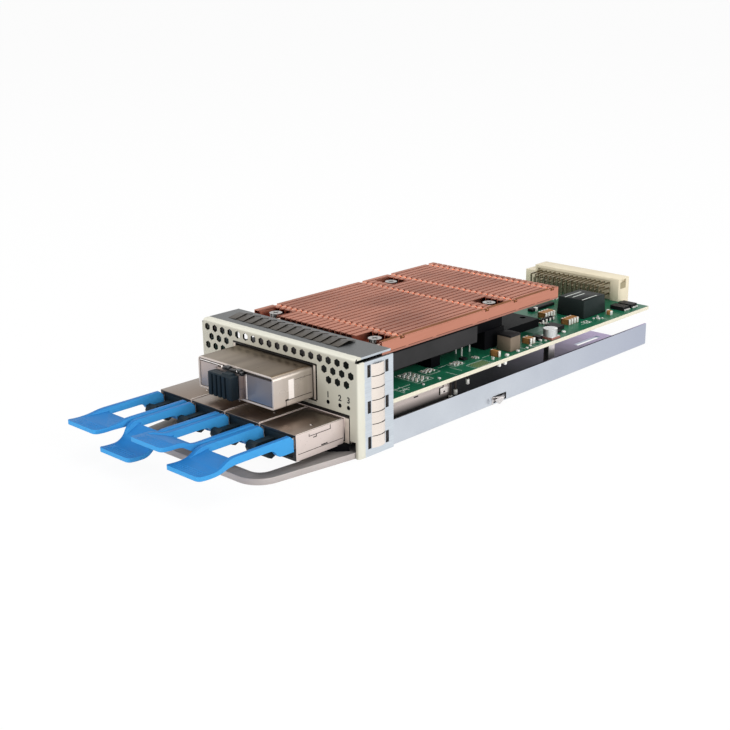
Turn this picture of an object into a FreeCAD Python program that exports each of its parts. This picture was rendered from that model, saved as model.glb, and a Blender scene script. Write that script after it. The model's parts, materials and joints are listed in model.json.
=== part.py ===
import FreeCAD, Part
import math
import os
import re
import Sketcher

# A plug-in card for a 1U optical shelf. +X is to the right of someone facing the panel, +Y runs
# into the shelf and +Z is up. The origin is at the foot of the panel's outer face, on its middle.

# Driving dimensions, in millimetres, and formulas for the sizes that follow from them
SIZES = {
    # Front panel
    "panel_width": 85.8,
    "panel_height": 37.3,
    "panel_sheet": 0.8,
    "panel_bend": 1.3,
    "side_flange_depth": 18.1,
    "top_flange_depth": 18.4,
    "relief_gap": 0.2,
    "vent_across": 2.7,
    "vent_count": 18,
    "vent_inset": 4.0,
    "vent_right_inset": 5.9,
    "vent_row_drop": 3.65,
    "vent_top_margin": 3.0,
    "notch_height": 6.2,
    "notch_inset": 1.7,
    # Tray
    "tray_sheet": 0.8,
    "tray_front": 2.0,
    "tray_length": 190.4,
    "tray_wall_height": 10.0,
    "wall_clearance": 0.1,
    "slot_inset": 23.0,
    "slot_width": 2.7,
    "slot_length": 18.5,
    "slot_rear_margin": 5.4,
    # Handle
    "handle_inset": 2.0,
    "handle_draw_in": 6.1,
    "handle_half_width": "=panel_width / 2 - handle_inset",
    "handle_bar": 7.6,
    "handle_reach": 42.2,
    "handle_thickness": 2.4,
    "handle_front_half": "=handle_half_width - handle_draw_in",
    "handle_front_bar": 5.8,
    "handle_arm_front": 4.5,
    "handle_corner": 10.0,
    "handle_inner_corner": 5.0,
    "handle_tail": 16.0,
    # Circuit board and its posts
    "board_underside": 16.3,
    "board_thickness": 1.6,
    "board_side_gap": 0.2,
    "board_front": 2.4,
    "board_rear": 191.8,
    "post_radius": 2.6,
    "post_inset": 5.0,
    "post_step_in": 2.6,
    "post_first": 66.0,
    "post_second": 126.0,
    "post_third": 180.0,
    "screw_radius": 1.2,
    "screw_head_radius": 2.3,
    "screw_length": 7.0,
    "thread_clearance": 0.05,
    # Line module and its cage
    "line_centre": -1.1,
    "line_width": 41.5,
    "line_height": 12.4,
    "line_length": 105.5,
    "line_reach": 19.0,
    "line_float": 0.3,
    "line_rim": 0.8,
    "line_recess": 4.0,
    "receptacle_width": 24.3,
    "receptacle_height": 9.5,
    "receptacle_reach": 2.0,
    "collar_wall": 0.6,
    "plug_width": 13.0,
    "plug_height": 9.0,
    "plug_reach": 3.6,
    "plug_rib_pitch": 2.4,
    "plug_rib_groove": 0.7,
    "plug_wall": 0.7,
    "plug_depth": 5.0,
    "piece_clearance": 0.15,
    "cage_clearance": 0.25,
    "cage_sheet": 0.3,
    "line_cutout_side": 1.5,
    "line_cutout_above": 0.55,
    "line_cutout_below": 0.6,
    "gasket_clearance": 0.1,
    "gasket_depth": 3.0,
    # Client modules and their cage
    "client_margins": 9.8,
    "client_left_margin": 2.5,
    "client_spacing": 0.65,
    "client_first": "=client_left_margin + client_pitch / 2 - panel_width / 2",
    "client_pitch": "=(panel_width - client_margins) / 4",
    "client_width": "=client_pitch - client_spacing",
    "client_top": 14.1,
    "client_height": 8.2,
    "client_lip": 1.5,
    "client_reach": 23.5,
    "client_depth": 48.9,
    "client_recess_depth": 8.0,
    "client_recess_side": 1.75,
    "client_recess_edge": 1.0,
    "client_bay_gap": 0.2,
    "client_panel_gap": 0.2,
    "client_cage_length": 58.0,
    "client_cutout_left": 0.8,
    "client_cutout_right": 2.5,
    "client_cutout_above": 1.35,
    "client_cutout_below": 0.55,
    "tongue_length": 4.0,
    "tongue_thickness": 1.0,
    # Release sliders and pull tabs
    "slider_sheet": 0.5,
    "slider_height": 4.1,
    "slider_length": 16.0,
    "slider_inset": 0.7,
    "slider_embed": 2.0,
    "slider_play": 0.1,
    "tab_gap": 0.5,
    "tab_arm_width": 1.7,
    "tab_arm_height": 2.8,
    "tab_root_height": 6.0,
    "tab_root_length": 5.5,
    "tab_arm_length": 26.0,
    "tab_bend_length": 10.0,
    "tab_pad_length": 6.5,
    "tab_pad_thickness": 1.6,
    "tab_pad_lip": 0.5,
    "tab_window_radius": 2.0,
    "tab_web_dish": 1.4,
    "tab_corner_radius": 1.6,
    "tab_drop_first": 0.9,
    "tab_drop_second": 6.5,
    "tab_drop_third": -2.3,
    "tab_drop_fourth": 2.9,
    # Dust plugs of the client modules
    "knob_radius": 2.1,
    "knob_width": 4.8,
    "knob_spacing": 6.6,
    "knob_reach": 10.5,
    "knob_neck": 3.0,
    # Copper cooler, its rails and screws
    "cooler_centre": -2.0,
    "cooler_overhang": 28.5,
    "cooler_width": "=line_width + cooler_overhang",
    "cooler_front": 22.9,
    "cooler_length": 110.0,
    "cooler_lift": 13.9,
    "cooler_base": 0.8,
    "cooler_height": 5.0,
    "fin_wall": 0.35,
    "fin_count": 23,
    "fin_cap": 2.35,
    "groove_width": 2.4,
    "groove_depth": 0.9,
    "groove_first": 11.1,
    "groove_second": 61.6,
    "groove_third": 80.1,
    "groove_fourth": 105.6,
    "pedestal_side": 4.0,
    "pedestal_front": 4.0,
    "pedestal_length": 54.0,
    "pocket_width": 11.0,
    "pocket_length": 9.0,
    "cooler_screw_inset": 3.1,
    "cooler_screw_half_spacing": "=rail_half_width - cooler_screw_inset",
    "cooler_screw_front": 3.6,
    "cooler_screw_rear": 71.6,
    "cooler_head_radius": 2.6,
    "cooler_head_height": 1.3,
    "cooler_head_drop": 0.4,
    "cooler_screw_depth": 3.0,
    "spring_radius": 2.0,
    "spring_wire": 0.5,
    "rail_spread": 9.45,
    "rail_half_width": "=line_width / 2 + rail_spread",
    "rail_top_width": 8.0,
    "rail_sheet": 0.8,
    "rail_skirt": 8.9,
    "rail_short_skirt": 5.5,
    "rail_skirt_gap": 5.1,
    "rail_front": 20.0,
    "rail_rear": 99.0,
    "rail_gap": 0.3,
    "rail_foot_front": 55.8,
    "rail_foot_length": 5.4,
    # Line connector and its cover
    "cover_gap": 1.9,
    "cover_side": 4.85,
    "cover_half_width": "=line_width / 2 + cover_side",
    "cover_tall_length": 12.6,
    "cover_wing_height": 7.8,
    "cover_wing_inset": 0.2,
    "cover_length": 43.0,
    "cover_low_height": 3.6,
    "cover_wall": 1.5,
    "ear_offset": 19.4,
    "ear_margin": 3.4,
    "connector_depth": 24.0,
    "connector_height": 10.0,
    # Backplane connector
    "backplane_left": -25.5,
    "backplane_right": 27.2,
    "backplane_front": 189.1,
    "backplane_depth": 8.6,
    "backplane_height": 10.5,
    "left_cheek": 5.5,
    "right_cheek": 3.2,
    "cheek_drop": 3.0,
    "shroud_wall": 1.3,
    "pin_recess": 1.5,
    "shroud_depth": 6.0,
    "key_pocket": 3.6,
    "key_pocket_depth": 1.0,
    "pin_size": 0.6,
    "pin_pitch": 2.54,
    "pin_columns": 16,
    "pin_mating_length": 1.9,
    "pin_first_tail": 2.2,
    # Spring latches in the tray walls
    "latch_front": 77.0,
    "latch_length": 9.3,
    "latch_window_height": 2.9,
    "latch_sheet": 0.5,
    "latch_nose": 1.4,
    "latch_arm": 14.0,
    "latch_edge_gap": 0.5,
    # Finger strips on the flanges
    "finger_sheet": 0.2,
    "finger_pitch": 4.5,
    "finger_slit": 0.3,
    "side_strip_front": 6.6,
    "side_strip_width": 7.0,
    "side_strip_rise": 0.9,
    "side_strip_foot": 2.8,
    "side_strip_count": 7,
    "top_strip_front": 6.8,
    "top_strip_width": 9.2,
    "top_strip_rise": 1.3,
    "top_strip_ridge": 5.7,
    "top_finger_pitch": 4.7,
    "top_strip_start": 8.6,
    "top_strip_count": 13,
    "clip_slot_width": 1.7,
    "clip_slot_height": 4.6,
    "clip_slot_step": 13.5,
    # Status lights
    "light_first": 15.3,
    "light_second": 9.3,
    "light_third": 5.0,
    "light_radius": 0.55,
    "light_hole_clearance": 0.1,
    "light_body": 2.6,
    # Parts on the board
    "power_left": 18.1,
    "power_width": 14.5,
    "power_front": 153.5,
    "power_length": 17.2,
    "power_height": 8.2,
    "inductor_left": 31.6,
    "inductor_width": 7.1,
    "inductor_front": 92.9,
    "inductor_length": 6.6,
    "inductor_height": 7.0,
    "can_inset": 3.5,
    "can_distance": 120.5,
    "can_radius": 3.0,
    "can_height": 4.3,
    "can_base": 1.1,
    "chip_left": 31.3,
    "chip_front": 176.5,
    "chip_width": 7.0,
    "chip_length": 4.6,
    "chip_height": 1.7,
    "chip_step": 6.4,
    "ceramic_width": 1.5,
    "ceramic_length": 4.3,
    "ceramic_height": 2.4,
    "ceramic_step": 1.95,
    "ceramic_first_left": 15.2,
    "ceramic_first_front": 143.3,
    "ceramic_second_left": 29.0,
    "ceramic_second_front": 141.3,
    "ceramic_third_left": 34.9,
    "ceramic_third_front": 84.4,
    "ceramic_fourth_left": 33.9,
    "ceramic_fourth_front": 106.9,
    "driver_left": 28.0,
    "driver_front": 131.0,
    "driver_width": 6.8,
    "driver_length": 4.8,
    "diode_left": 34.4,
    "diode_front": 113.4,
    "diode_width": 3.2,
    "diode_length": 3.0,
}

doc = FreeCAD.newDocument("transponder_card")
sheet = doc.addObject("Spreadsheet::Sheet", "Sizes")
for row, (alias, number) in enumerate(SIZES.items(), start=1):
    sheet.set(f"A{row}", alias)
    sheet.set(f"B{row}", str(number))
    sheet.setAlias(f"B{row}", alias)
doc.recompute()

# Places that several pieces share, as expressions of the sizes
BOARD_TOP = "(board_underside + board_thickness)"
BOARD_HALF = "(panel_width / 2 - panel_sheet - board_side_gap)"
TRAY_OUTSIDE = "(panel_width / 2 - panel_sheet - wall_clearance)"
TRAY_INSIDE = f"({TRAY_OUTSIDE} - tray_sheet)"
LINE_FOOT = f"({BOARD_TOP} + line_float)"
LINE_TOP = f"({LINE_FOOT} + line_height)"
LINE_REAR = "(line_length - line_reach)"
LINE_CAGE_HALF = "(line_width / 2 + cage_clearance + cage_sheet)"
LINE_CAGE_TOP = f"({LINE_TOP} + cage_clearance + cage_sheet)"
VENT_PITCH = "((panel_width - vent_inset - vent_right_inset) / (vent_count - 1))"
CLIENT_FOOT = "(client_top - client_height)"
CLIENT_LAST = "(client_first + 3 * client_pitch)"
CLIENT_BAY_HALF = "(client_width / 2 + client_bay_gap)"
CLIENT_CAGE_LEFT = f"(client_first - {CLIENT_BAY_HALF} - cage_sheet)"
CLIENT_CAGE_RIGHT = f"({CLIENT_LAST} + {CLIENT_BAY_HALF} + cage_sheet)"
CLIENT_CAGE_FOOT = f"({CLIENT_FOOT} - piece_clearance - cage_sheet)"
CLIENT_CAGE_TOP = "(client_top + piece_clearance + cage_sheet)"
COVER_FRONT = f"({LINE_REAR} + cover_gap)"
COOLER_FOOT = f"({BOARD_TOP} + cooler_lift)"
COOLER_TOP = f"({COOLER_FOOT} + cooler_height)"
COOLER_LEFT = "(cooler_centre - cooler_width / 2)"
COOLER_RIGHT = "(cooler_centre + cooler_width / 2)"
COOLER_REAR = "(cooler_front + cooler_length)"
RAIL_TOP = f"({COOLER_FOOT} - rail_gap)"
SHROUD_LEFT = "(backplane_left + left_cheek)"
SHROUD_RIGHT = "(backplane_right - right_cheek)"

nodes = []


def size(alias):
    """Read one driving dimension from the sheet."""
    return float(getattr(sheet, alias))


def bound(text):
    """Point every size named in an expression at its cell."""
    def cell(word):
        return f"Sizes.{word.group()}" if word.group() in SIZES else word.group()
    return re.sub(r"[a-z][a-z_]*", cell, text)


def node(label, item):
    """Name a finished piece and keep it for export."""
    item.Label = label
    nodes.append(item)
    return item


def place(item, x, y, z):
    """Tie a piece's position to the sizes."""
    for axis, text in zip("xyz", (x, y, z)):
        item.setExpression(f"Placement.Base.{axis}", bound(text))


def block(name, x, y, z):
    """A block between a low and a high place on each axis."""
    item = doc.addObject("Part::Box", name)
    for side, (low, high) in zip(("Length", "Width", "Height"), (x, y, z)):
        item.setExpression(side, bound(f"({high}) - ({low})"))
    place(item, x[0], y[0], z[0])
    return item


def around(centre, half):
    """The low and high place of something centred on an axis."""
    return (f"({centre}) - ({half})", f"({centre}) + ({half})")


def rod(name, radius, centre, span, axis="z"):
    """A round bar along one axis, at a centre on the other two."""
    item = doc.addObject("Part::Cylinder", name)
    item.setExpression("Radius", bound(radius))
    item.setExpression("Height", bound(f"({span[1]}) - ({span[0]})"))
    turns = {
        "x": FreeCAD.Rotation(FreeCAD.Vector(0, 1, 0), 90),
        "y": FreeCAD.Rotation(FreeCAD.Vector(1, 0, 0), -90),
        "z": FreeCAD.Rotation(),
    }
    item.Placement = FreeCAD.Placement(FreeCAD.Vector(), turns[axis])
    spots = list(centre)
    spots.insert("xyz".index(axis), span[0])
    place(item, *spots)
    return item


def taper(name, low_radius, high_radius, centre, span):
    """An upright cone between two heights."""
    item = doc.addObject("Part::Cone", name)
    item.setExpression("Radius1", bound(low_radius))
    item.setExpression("Radius2", bound(high_radius))
    item.setExpression("Height", bound(f"({span[1]}) - ({span[0]})"))
    place(item, centre[0], centre[1], span[0])
    return item


def fuse(name, *pieces):
    item = doc.addObject("Part::MultiFuse", name)
    item.Shapes = list(pieces)
    item.Refine = True
    return item


def group(name, *pieces):
    """Separate solids that share one node."""
    item = doc.addObject("Part::Compound", name)
    item.Links = list(pieces)
    return item


def cut(name, base, *tools):
    item = doc.addObject("Part::Cut", name)
    item.Base = base
    item.Tool = tools[0] if len(tools) == 1 else group(f"{name}_tools", *tools)
    item.Refine = True
    return item


def sketch(body, name, role, offset="0"):
    """An empty sketch on one of the body's own planes, moved along its normal."""
    item = body.newObject("Sketcher::SketchObject", name)
    plane = next(feature for feature in body.Origin.OriginFeatures if feature.Role == role)
    item.AttachmentSupport = [(plane, "")]
    item.MapMode = "FlatFace"
    item.setExpression("AttachmentOffset.Base.z", bound(offset))
    return item


def outline(target, corners):
    """A closed run of straight lines with every corner tied to the sizes."""
    count = len(corners)
    turn = 2 * math.pi / count
    start = [FreeCAD.Vector(math.cos(turn * k), math.sin(turn * k), 0) for k in range(count)]
    first = target.GeometryCount
    for k in range(count):
        target.addGeometry(Part.LineSegment(start[k], start[(k + 1) % count]), False)
    for k in range(count):
        following = first + (k + 1) % count
        target.addConstraint(Sketcher.Constraint("Coincident", first + k, 2, following, 1))
    for k, corner in enumerate(corners):
        for kind, text in zip(("DistanceX", "DistanceY"), corner):
            index = target.addConstraint(Sketcher.Constraint(kind, -1, 1, first + k, 1, 1.0))
            target.setExpression(f"Constraints[{index}]", bound(text))
    return target


def pad(body, name, profile, length, backwards=False):
    item = body.newObject("PartDesign::Pad", name)
    item.Profile = profile
    item.setExpression("Length", bound(length))
    item.Reversed = backwards
    return item


def rounded(name, base, radius, chosen):
    """Round the edges of a piece that pass a test."""
    doc.recompute()
    item = doc.addObject("Part::Fillet", name)
    item.Base = base
    picked = [k for k, edge in enumerate(base.Shape.Edges, start=1) if chosen(edge)]
    item.Edges = [(k, radius, radius) for k in picked]
    return item


def along(edge, axis):
    """Whether an edge is straight and runs along one axis."""
    ends = [vertex.Point for vertex in edge.Vertexes]
    if len(ends) != 2 or edge.Curve.TypeId != "Part::GeomLine":
        return False
    step = ends[1] - ends[0]
    return abs(abs(getattr(step, axis)) - step.Length) < 1e-6


def near(edge, **spots):
    """Whether an edge's middle lies at the given places."""
    middle = edge.CenterOfMass
    return all(abs(getattr(middle, axis) - spot) < 1e-3 for axis, spot in spots.items())


def made(name, shape):
    """A piece whose shape is worked out in code from the sizes."""
    item = doc.addObject("Part::Feature", name)
    item.Shape = shape
    return item


# Front panel: a face with two side flanges and a top flange, then its holes
def front_panel():
    body = doc.addObject("PartDesign::Body", "panel_body")
    half = "panel_width / 2"
    inside = "panel_width / 2 - panel_sheet"
    relief = "(panel_bend + relief_gap)"
    flange_top = f"panel_height - {relief}"
    plan = outline(sketch(body, "panel_plan", "XY_Plane"), [
        (f"-({half})", "0"), (half, "0"), (half, "side_flange_depth"), (inside, "side_flange_depth"),
        (inside, "panel_sheet"), (f"-({inside})", "panel_sheet"), (f"-({inside})", "side_flange_depth"),
        (f"-({half})", "side_flange_depth")])
    pad(body, "panel_face", plan, flange_top)
    side = outline(sketch(body, "panel_side", "YZ_Plane", f"-({half} - {relief})"), [
        ("0", flange_top), ("panel_sheet", flange_top), ("panel_sheet", "panel_height - panel_sheet"),
        ("top_flange_depth", "panel_height - panel_sheet"), ("top_flange_depth", "panel_height"),
        ("0", "panel_height")])
    pad(body, "panel_top", side, f"2 * ({half} - {relief})")
    rows = [
        ("top", 0, 0, int(size("vent_count"))), ("left", 1, 0.5, 3), ("right", 1, 14.5, 4),
        ("low_left", 2, 0, 3), ("low_right", 2, 15, 3)]
    for name, drop, skipped, count in rows:
        x = f"(vent_inset - panel_width / 2 + {skipped} * {VENT_PITCH})"
        z = f"(panel_height - vent_top_margin - {drop} * vent_row_drop)"
        hexagon = outline(sketch(body, f"vent_{name}", "XZ_Plane"), [
            (f"{x} + vent_across / sqrt(3) * sin({60 * k})",
             f"{z} + vent_across / sqrt(3) * cos({60 * k})") for k in range(6)])
        hole = body.newObject("PartDesign::Pocket", f"vent_{name}_hole")
        hole.Profile = hexagon
        hole.setExpression("Length", bound("panel_sheet"))
        row = body.newObject("PartDesign::LinearPattern", f"vent_{name}_row")
        row.Originals = [hole]
        row.Direction = (hexagon, ["H_Axis"])
        row.setExpression("Length", bound(f"{count - 1} * {VENT_PITCH}"))
        row.Occurrences = count
        body.Tip = row
    side_x = size("panel_width") / 2
    bent = rounded("panel_bent", body, size("panel_bend"), lambda edge: (
        along(edge, "z") and (near(edge, x=side_x, y=0) or near(edge, x=-side_x, y=0))
        or along(edge, "x") and near(edge, y=0, z=size("panel_height"))))
    through = ("-1", "panel_sheet + 1")
    tools = [
        block("line_cutout", around("line_centre", f"{LINE_CAGE_HALF} + line_cutout_side"), through,
              (f"{BOARD_TOP} - line_cutout_below", f"{LINE_CAGE_TOP} + line_cutout_above")),
        block("client_cutout",
              (f"{CLIENT_CAGE_LEFT} - client_cutout_left", f"{CLIENT_CAGE_RIGHT} + client_cutout_right"),
              through,
              (f"{CLIENT_CAGE_FOOT} - client_cutout_below", f"{CLIENT_CAGE_TOP} + client_cutout_above")),
        block("handle_notch", around("0", "panel_width / 2 - notch_inset"), through, ("-1", "notch_height")),
    ]
    for light in ("first", "second", "third"):
        tools.append(rod(f"light_hole_{light}", "light_radius + light_hole_clearance",
                         (f"panel_width / 2 - light_{light}", f"{BOARD_TOP} + light_radius"),
                         through, "y"))
    for level in range(3):
        low = f"side_strip_foot + {level} * clip_slot_step"
        for name, edge in (("front", "side_strip_front - clip_slot_width - finger_slit"),
                           ("rear", "side_strip_front + side_strip_width + finger_slit")):
            tools.append(block(f"clip_slot_{name}_{level}",
                               ("panel_width / 2 - panel_sheet - 1", "panel_width / 2 + 1"),
                               (edge, f"{edge} + clip_slot_width"), (low, f"{low} + clip_slot_height")))
    return node("front_panel", cut("panel_with_holes", bent, *tools))


# Tray: a folded channel with windows for the latches, a slot and countersunk screw holes
def post_spots():
    """Where the board's posts stand; the rear right corner is carried by the backplane plug."""
    left = f"post_inset - {BOARD_HALF}"
    right = f"{BOARD_HALF} - post_inset"
    return [(left, "post_first"), (left, "post_second"), (left, "post_third"),
            (f"{right} - post_step_in", "post_second")]


def handle_screw_spots():
    middle = "handle_half_width - handle_bar / 2"
    return [(f"{sign}({middle})", "handle_tail - handle_bar / 2") for sign in ("", "-")]


def tray():
    body = doc.addObject("PartDesign::Body", "tray_body")
    walls = outline(sketch(body, "tray_section", "XZ_Plane", "-tray_front"), [
        (f"-{TRAY_OUTSIDE}", "0"), (TRAY_OUTSIDE, "0"), (TRAY_OUTSIDE, "tray_wall_height"),
        (TRAY_INSIDE, "tray_wall_height"), (TRAY_INSIDE, "tray_sheet"), (f"-{TRAY_INSIDE}", "tray_sheet"),
        (f"-{TRAY_INSIDE}", "tray_wall_height"), (f"-{TRAY_OUTSIDE}", "tray_wall_height")])
    pad(body, "tray_channel", walls, "tray_length - tray_front", backwards=True)
    bent = rounded("tray_bent", body, size("tray_sheet"), lambda edge: (
        along(edge, "y") and near(edge, z=0)))
    slot_x = f"{TRAY_OUTSIDE} - slot_inset"
    slot_y = "tray_length - slot_rear_margin - slot_length"
    tools = [
        block("latch_windows", ("-panel_width", "panel_width"),
              ("latch_front", "latch_front + latch_length"),
              ("tray_sheet", "tray_sheet + latch_window_height")),
        block("floor_slot", (slot_x, f"{slot_x} + slot_width"), (slot_y, f"{slot_y} + slot_length"),
              ("-1", "tray_sheet + 1")),
    ]
    for k, spot in enumerate(post_spots() + handle_screw_spots()):
        tools.append(taper(f"countersink_{k}", "screw_head_radius + thread_clearance",
                           "screw_radius + thread_clearance", spot, ("0", "tray_sheet")))
    return node("tray", cut("tray_with_holes", bent, *tools))


# Screws, set from below with their heads flush with the tray
def countersunk(name, spots, tip):
    screws = []
    for k, spot in enumerate(spots):
        head = taper(f"{name}_head_{k}", "screw_head_radius", "screw_radius", spot, ("0", "tray_sheet"))
        shank = rod(f"{name}_shank_{k}", "screw_radius", spot, ("tray_sheet", tip))
        screws.append(fuse(f"{name}_{k}", head, shank))
    return node(name, group(f"{name}_group", *screws))


# Handle: a flat bar loop with arms that draw in, thinned behind the panel where it lies on the tray
def handle():
    body = doc.addObject("PartDesign::Body", "handle_body")
    wide = "handle_half_width"
    narrow = "(handle_half_width - handle_bar)"
    tip = "handle_front_half"
    inner_tip = "(handle_front_half - handle_arm_front)"
    front = "-handle_reach"
    inner = "(handle_front_bar - handle_reach)"
    right_side = [(tip, front), (wide, "0"), (wide, "handle_tail"), (narrow, "handle_tail"), (narrow, "0"),
                  (inner_tip, inner)]
    left_side = [(f"-{x}", y) for x, y in reversed(right_side)]
    loop = outline(sketch(body, "handle_loop", "XY_Plane"), right_side + left_side)
    pad(body, "handle_bar_pad", loop, "handle_thickness")
    outer_bend = rounded("handle_outer_bend", body, size("handle_corner"), lambda edge: (
        along(edge, "z") and near(edge, y=-size("handle_reach"))))
    inner_front = size("handle_front_bar") - size("handle_reach")
    inner_bend = rounded("handle_inner_bend", outer_bend, size("handle_inner_corner"), lambda edge: (
        along(edge, "z") and near(edge, y=inner_front)))
    tools = [block("handle_step", ("-panel_width", "panel_width"),
                   ("tray_front - wall_clearance", "handle_tail + 1"), ("-1", "tray_sheet"))]
    for k, spot in enumerate(handle_screw_spots()):
        tools.append(rod(f"handle_hole_{k}", "screw_radius + thread_clearance", spot,
                         ("0", "handle_thickness - tray_sheet")))
    return node("handle", cut("handle_with_holes", inner_bend, *tools))


# Circuit board and the posts that carry it
def main_board():
    body = doc.addObject("PartDesign::Body", "board_body")
    plan = outline(sketch(body, "board_plan", "XY_Plane", "board_underside"), [
        (f"-{BOARD_HALF}", "board_front"), (BOARD_HALF, "board_front"), (BOARD_HALF, "board_rear"),
        (f"-{BOARD_HALF}", "board_rear")])
    pad(body, "board_sheet", plan, "board_thickness")
    return node("main_board", body)


def standoffs():
    posts = []
    for k, spot in enumerate(post_spots()):
        post = doc.addObject("Part::Prism", f"post_{k}")
        post.Polygon = 6
        post.setExpression("Circumradius", bound("post_radius"))
        post.setExpression("Height", bound("board_underside - tray_sheet"))
        place(post, *spot, "tray_sheet")
        bore = rod(f"post_bore_{k}", "screw_radius + thread_clearance", spot,
                   ("0", "tray_sheet + screw_length + 1"))
        posts.append(cut(f"post_bored_{k}", post, bore))
    return node("standoffs", group("standoff_group", *posts))


# Line module: a shell with a recessed front that holds a receptacle block and a face plate
def line_module():
    sides = around("line_centre", "line_width / 2")
    front = "-line_reach"
    outside = block("line_outside", sides, (front, LINE_REAR), (LINE_FOOT, LINE_TOP))
    tongue = block("line_tongue", around("line_centre", "line_width / 2 - 4"),
                   (LINE_REAR, f"{LINE_REAR} + tongue_length"),
                   around(f"{LINE_FOOT} + line_height / 2", "tongue_thickness / 2"))
    recess = block("line_recess_tool", around("line_centre", "line_width / 2 - line_rim"),
                   (f"{front} - 1", f"{front} + line_recess"),
                   (f"{LINE_FOOT} + line_rim", f"{LINE_TOP} - line_rim"))
    body = cut("line_shell_cut", fuse("line_shell_solid", outside, tongue), recess)
    middle, half = size("line_centre"), size("line_width") / 2
    edges = rounded("line_shell_round", body, size("line_rim"), lambda edge: (
        along(edge, "y") and (near(edge, x=middle - half) or near(edge, x=middle + half))))
    node("line_module_shell", edges)
    left = "(line_centre - line_width / 2 + line_rim + piece_clearance)"
    split = f"({left} + receptacle_width)"
    right = "(line_centre + line_width / 2 - line_rim - piece_clearance)"
    foot = f"({LINE_FOOT} + line_rim + piece_clearance)"
    back = "(line_recess - line_reach)"
    top = f"({foot} + receptacle_height)"
    face = f"({front} + 2 * piece_clearance)"
    block_front = "(-line_reach - receptacle_reach)"
    plug_right = f"({split} - piece_clearance)"
    plug_sides = (f"{plug_right} - plug_width", plug_right)
    plate = block("receptacle_plate", (left, split), (face, back), (foot, top))
    collar = block("receptacle_collar", (f"{plug_sides[0]} - collar_wall", split), (block_front, back),
                   (foot, top))
    solid = fuse("receptacle_solid", plate, collar)
    plug_foot = f"({foot} + piece_clearance)"
    bore_sides = (f"{plug_sides[0]} + plug_wall", f"{plug_sides[1]} - plug_wall")
    bore_heights = (f"{plug_foot} + plug_wall", f"{plug_foot} + plug_height - plug_wall")
    bore = block("receptacle_bore", bore_sides,
                 (f"{block_front} - 1", f"{block_front} + plug_depth + piece_clearance"), bore_heights)
    node("line_receptacle", cut("receptacle_cut", solid, bore))
    node("line_face_plate", block("face_plate", (f"{split} + piece_clearance", right),
                                  (face, back), (foot, top)))
    line_plug(plug_sides, plug_foot, block_front, bore_sides, bore_heights)


def line_plug(sides, foot, seat, bore_sides, bore_heights):
    """Ribbed dust plug of the line receptacle, with its latch bar on top."""
    front = f"({seat} - plug_reach)"
    body = block("line_plug_body", sides, (front, seat), (foot, f"{foot} + plug_height"))
    stem = block("line_plug_stem",
                 (f"{bore_sides[0]} + piece_clearance", f"{bore_sides[1]} - piece_clearance"),
                 (seat, f"{seat} + plug_depth"),
                 (f"{bore_heights[0]} + piece_clearance", f"{bore_heights[1]} - piece_clearance"))
    latch = block("line_plug_latch", (f"{sides[0]} + 0.55 * plug_width", f"{sides[1]} - 0.12 * plug_width"),
                  (f"{front} + plug_wall", seat),
                  (f"{foot} + plug_height", f"{foot} + plug_height + plug_wall"))
    grooves = []
    for k in range(1, 5):
        middle = f"{sides[0]} + {k} * plug_rib_pitch"
        grooves.append(block(f"line_plug_groove_{k}", around(middle, "plug_rib_groove / 2"),
                             (f"{front} - 1", f"{front} + plug_rib_groove"),
                             (f"{foot} - 1", f"{foot} + plug_height - plug_wall")))
    node("line_plug", cut("line_plug_ribbed", fuse("line_plug_solid", body, stem, latch), *grooves))


def line_cage():
    outside = block("line_cage_outside", around("line_centre", LINE_CAGE_HALF), ("0", LINE_REAR),
                    (BOARD_TOP, LINE_CAGE_TOP))
    inside = block("line_cage_inside", around("line_centre", f"{LINE_CAGE_HALF} - cage_sheet"),
                   ("-1", f"{LINE_REAR} + 1"), (f"{BOARD_TOP} - 1", f"{LINE_CAGE_TOP} - cage_sheet"))
    window = block("line_cage_window",
                   around("line_centre", "line_width / 2 - pedestal_side + cage_clearance"),
                   ("cooler_front + pedestal_front - cage_clearance",
                    "cooler_front + pedestal_front + pedestal_length + cage_clearance"),
                   (f"{LINE_CAGE_TOP} - 1", f"{LINE_CAGE_TOP} + 1"))
    node("line_cage", cut("line_cage_folded", outside, inside, window))
    cutout_half = f"{LINE_CAGE_HALF} + line_cutout_side"
    frame = block("line_gasket_outside", around("line_centre", f"{cutout_half} - gasket_clearance"),
                  ("0", "gasket_depth"),
                  (BOARD_TOP, f"{LINE_CAGE_TOP} + line_cutout_above - gasket_clearance"))
    hole = block("line_gasket_hole", around("line_centre", f"{LINE_CAGE_HALF} + gasket_clearance"),
                 ("-1", "gasket_depth + 1"), (f"{BOARD_TOP} - 1", f"{LINE_CAGE_TOP} + gasket_clearance"))
    node("line_cage_gasket", cut("line_gasket_frame", frame, hole))


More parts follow.
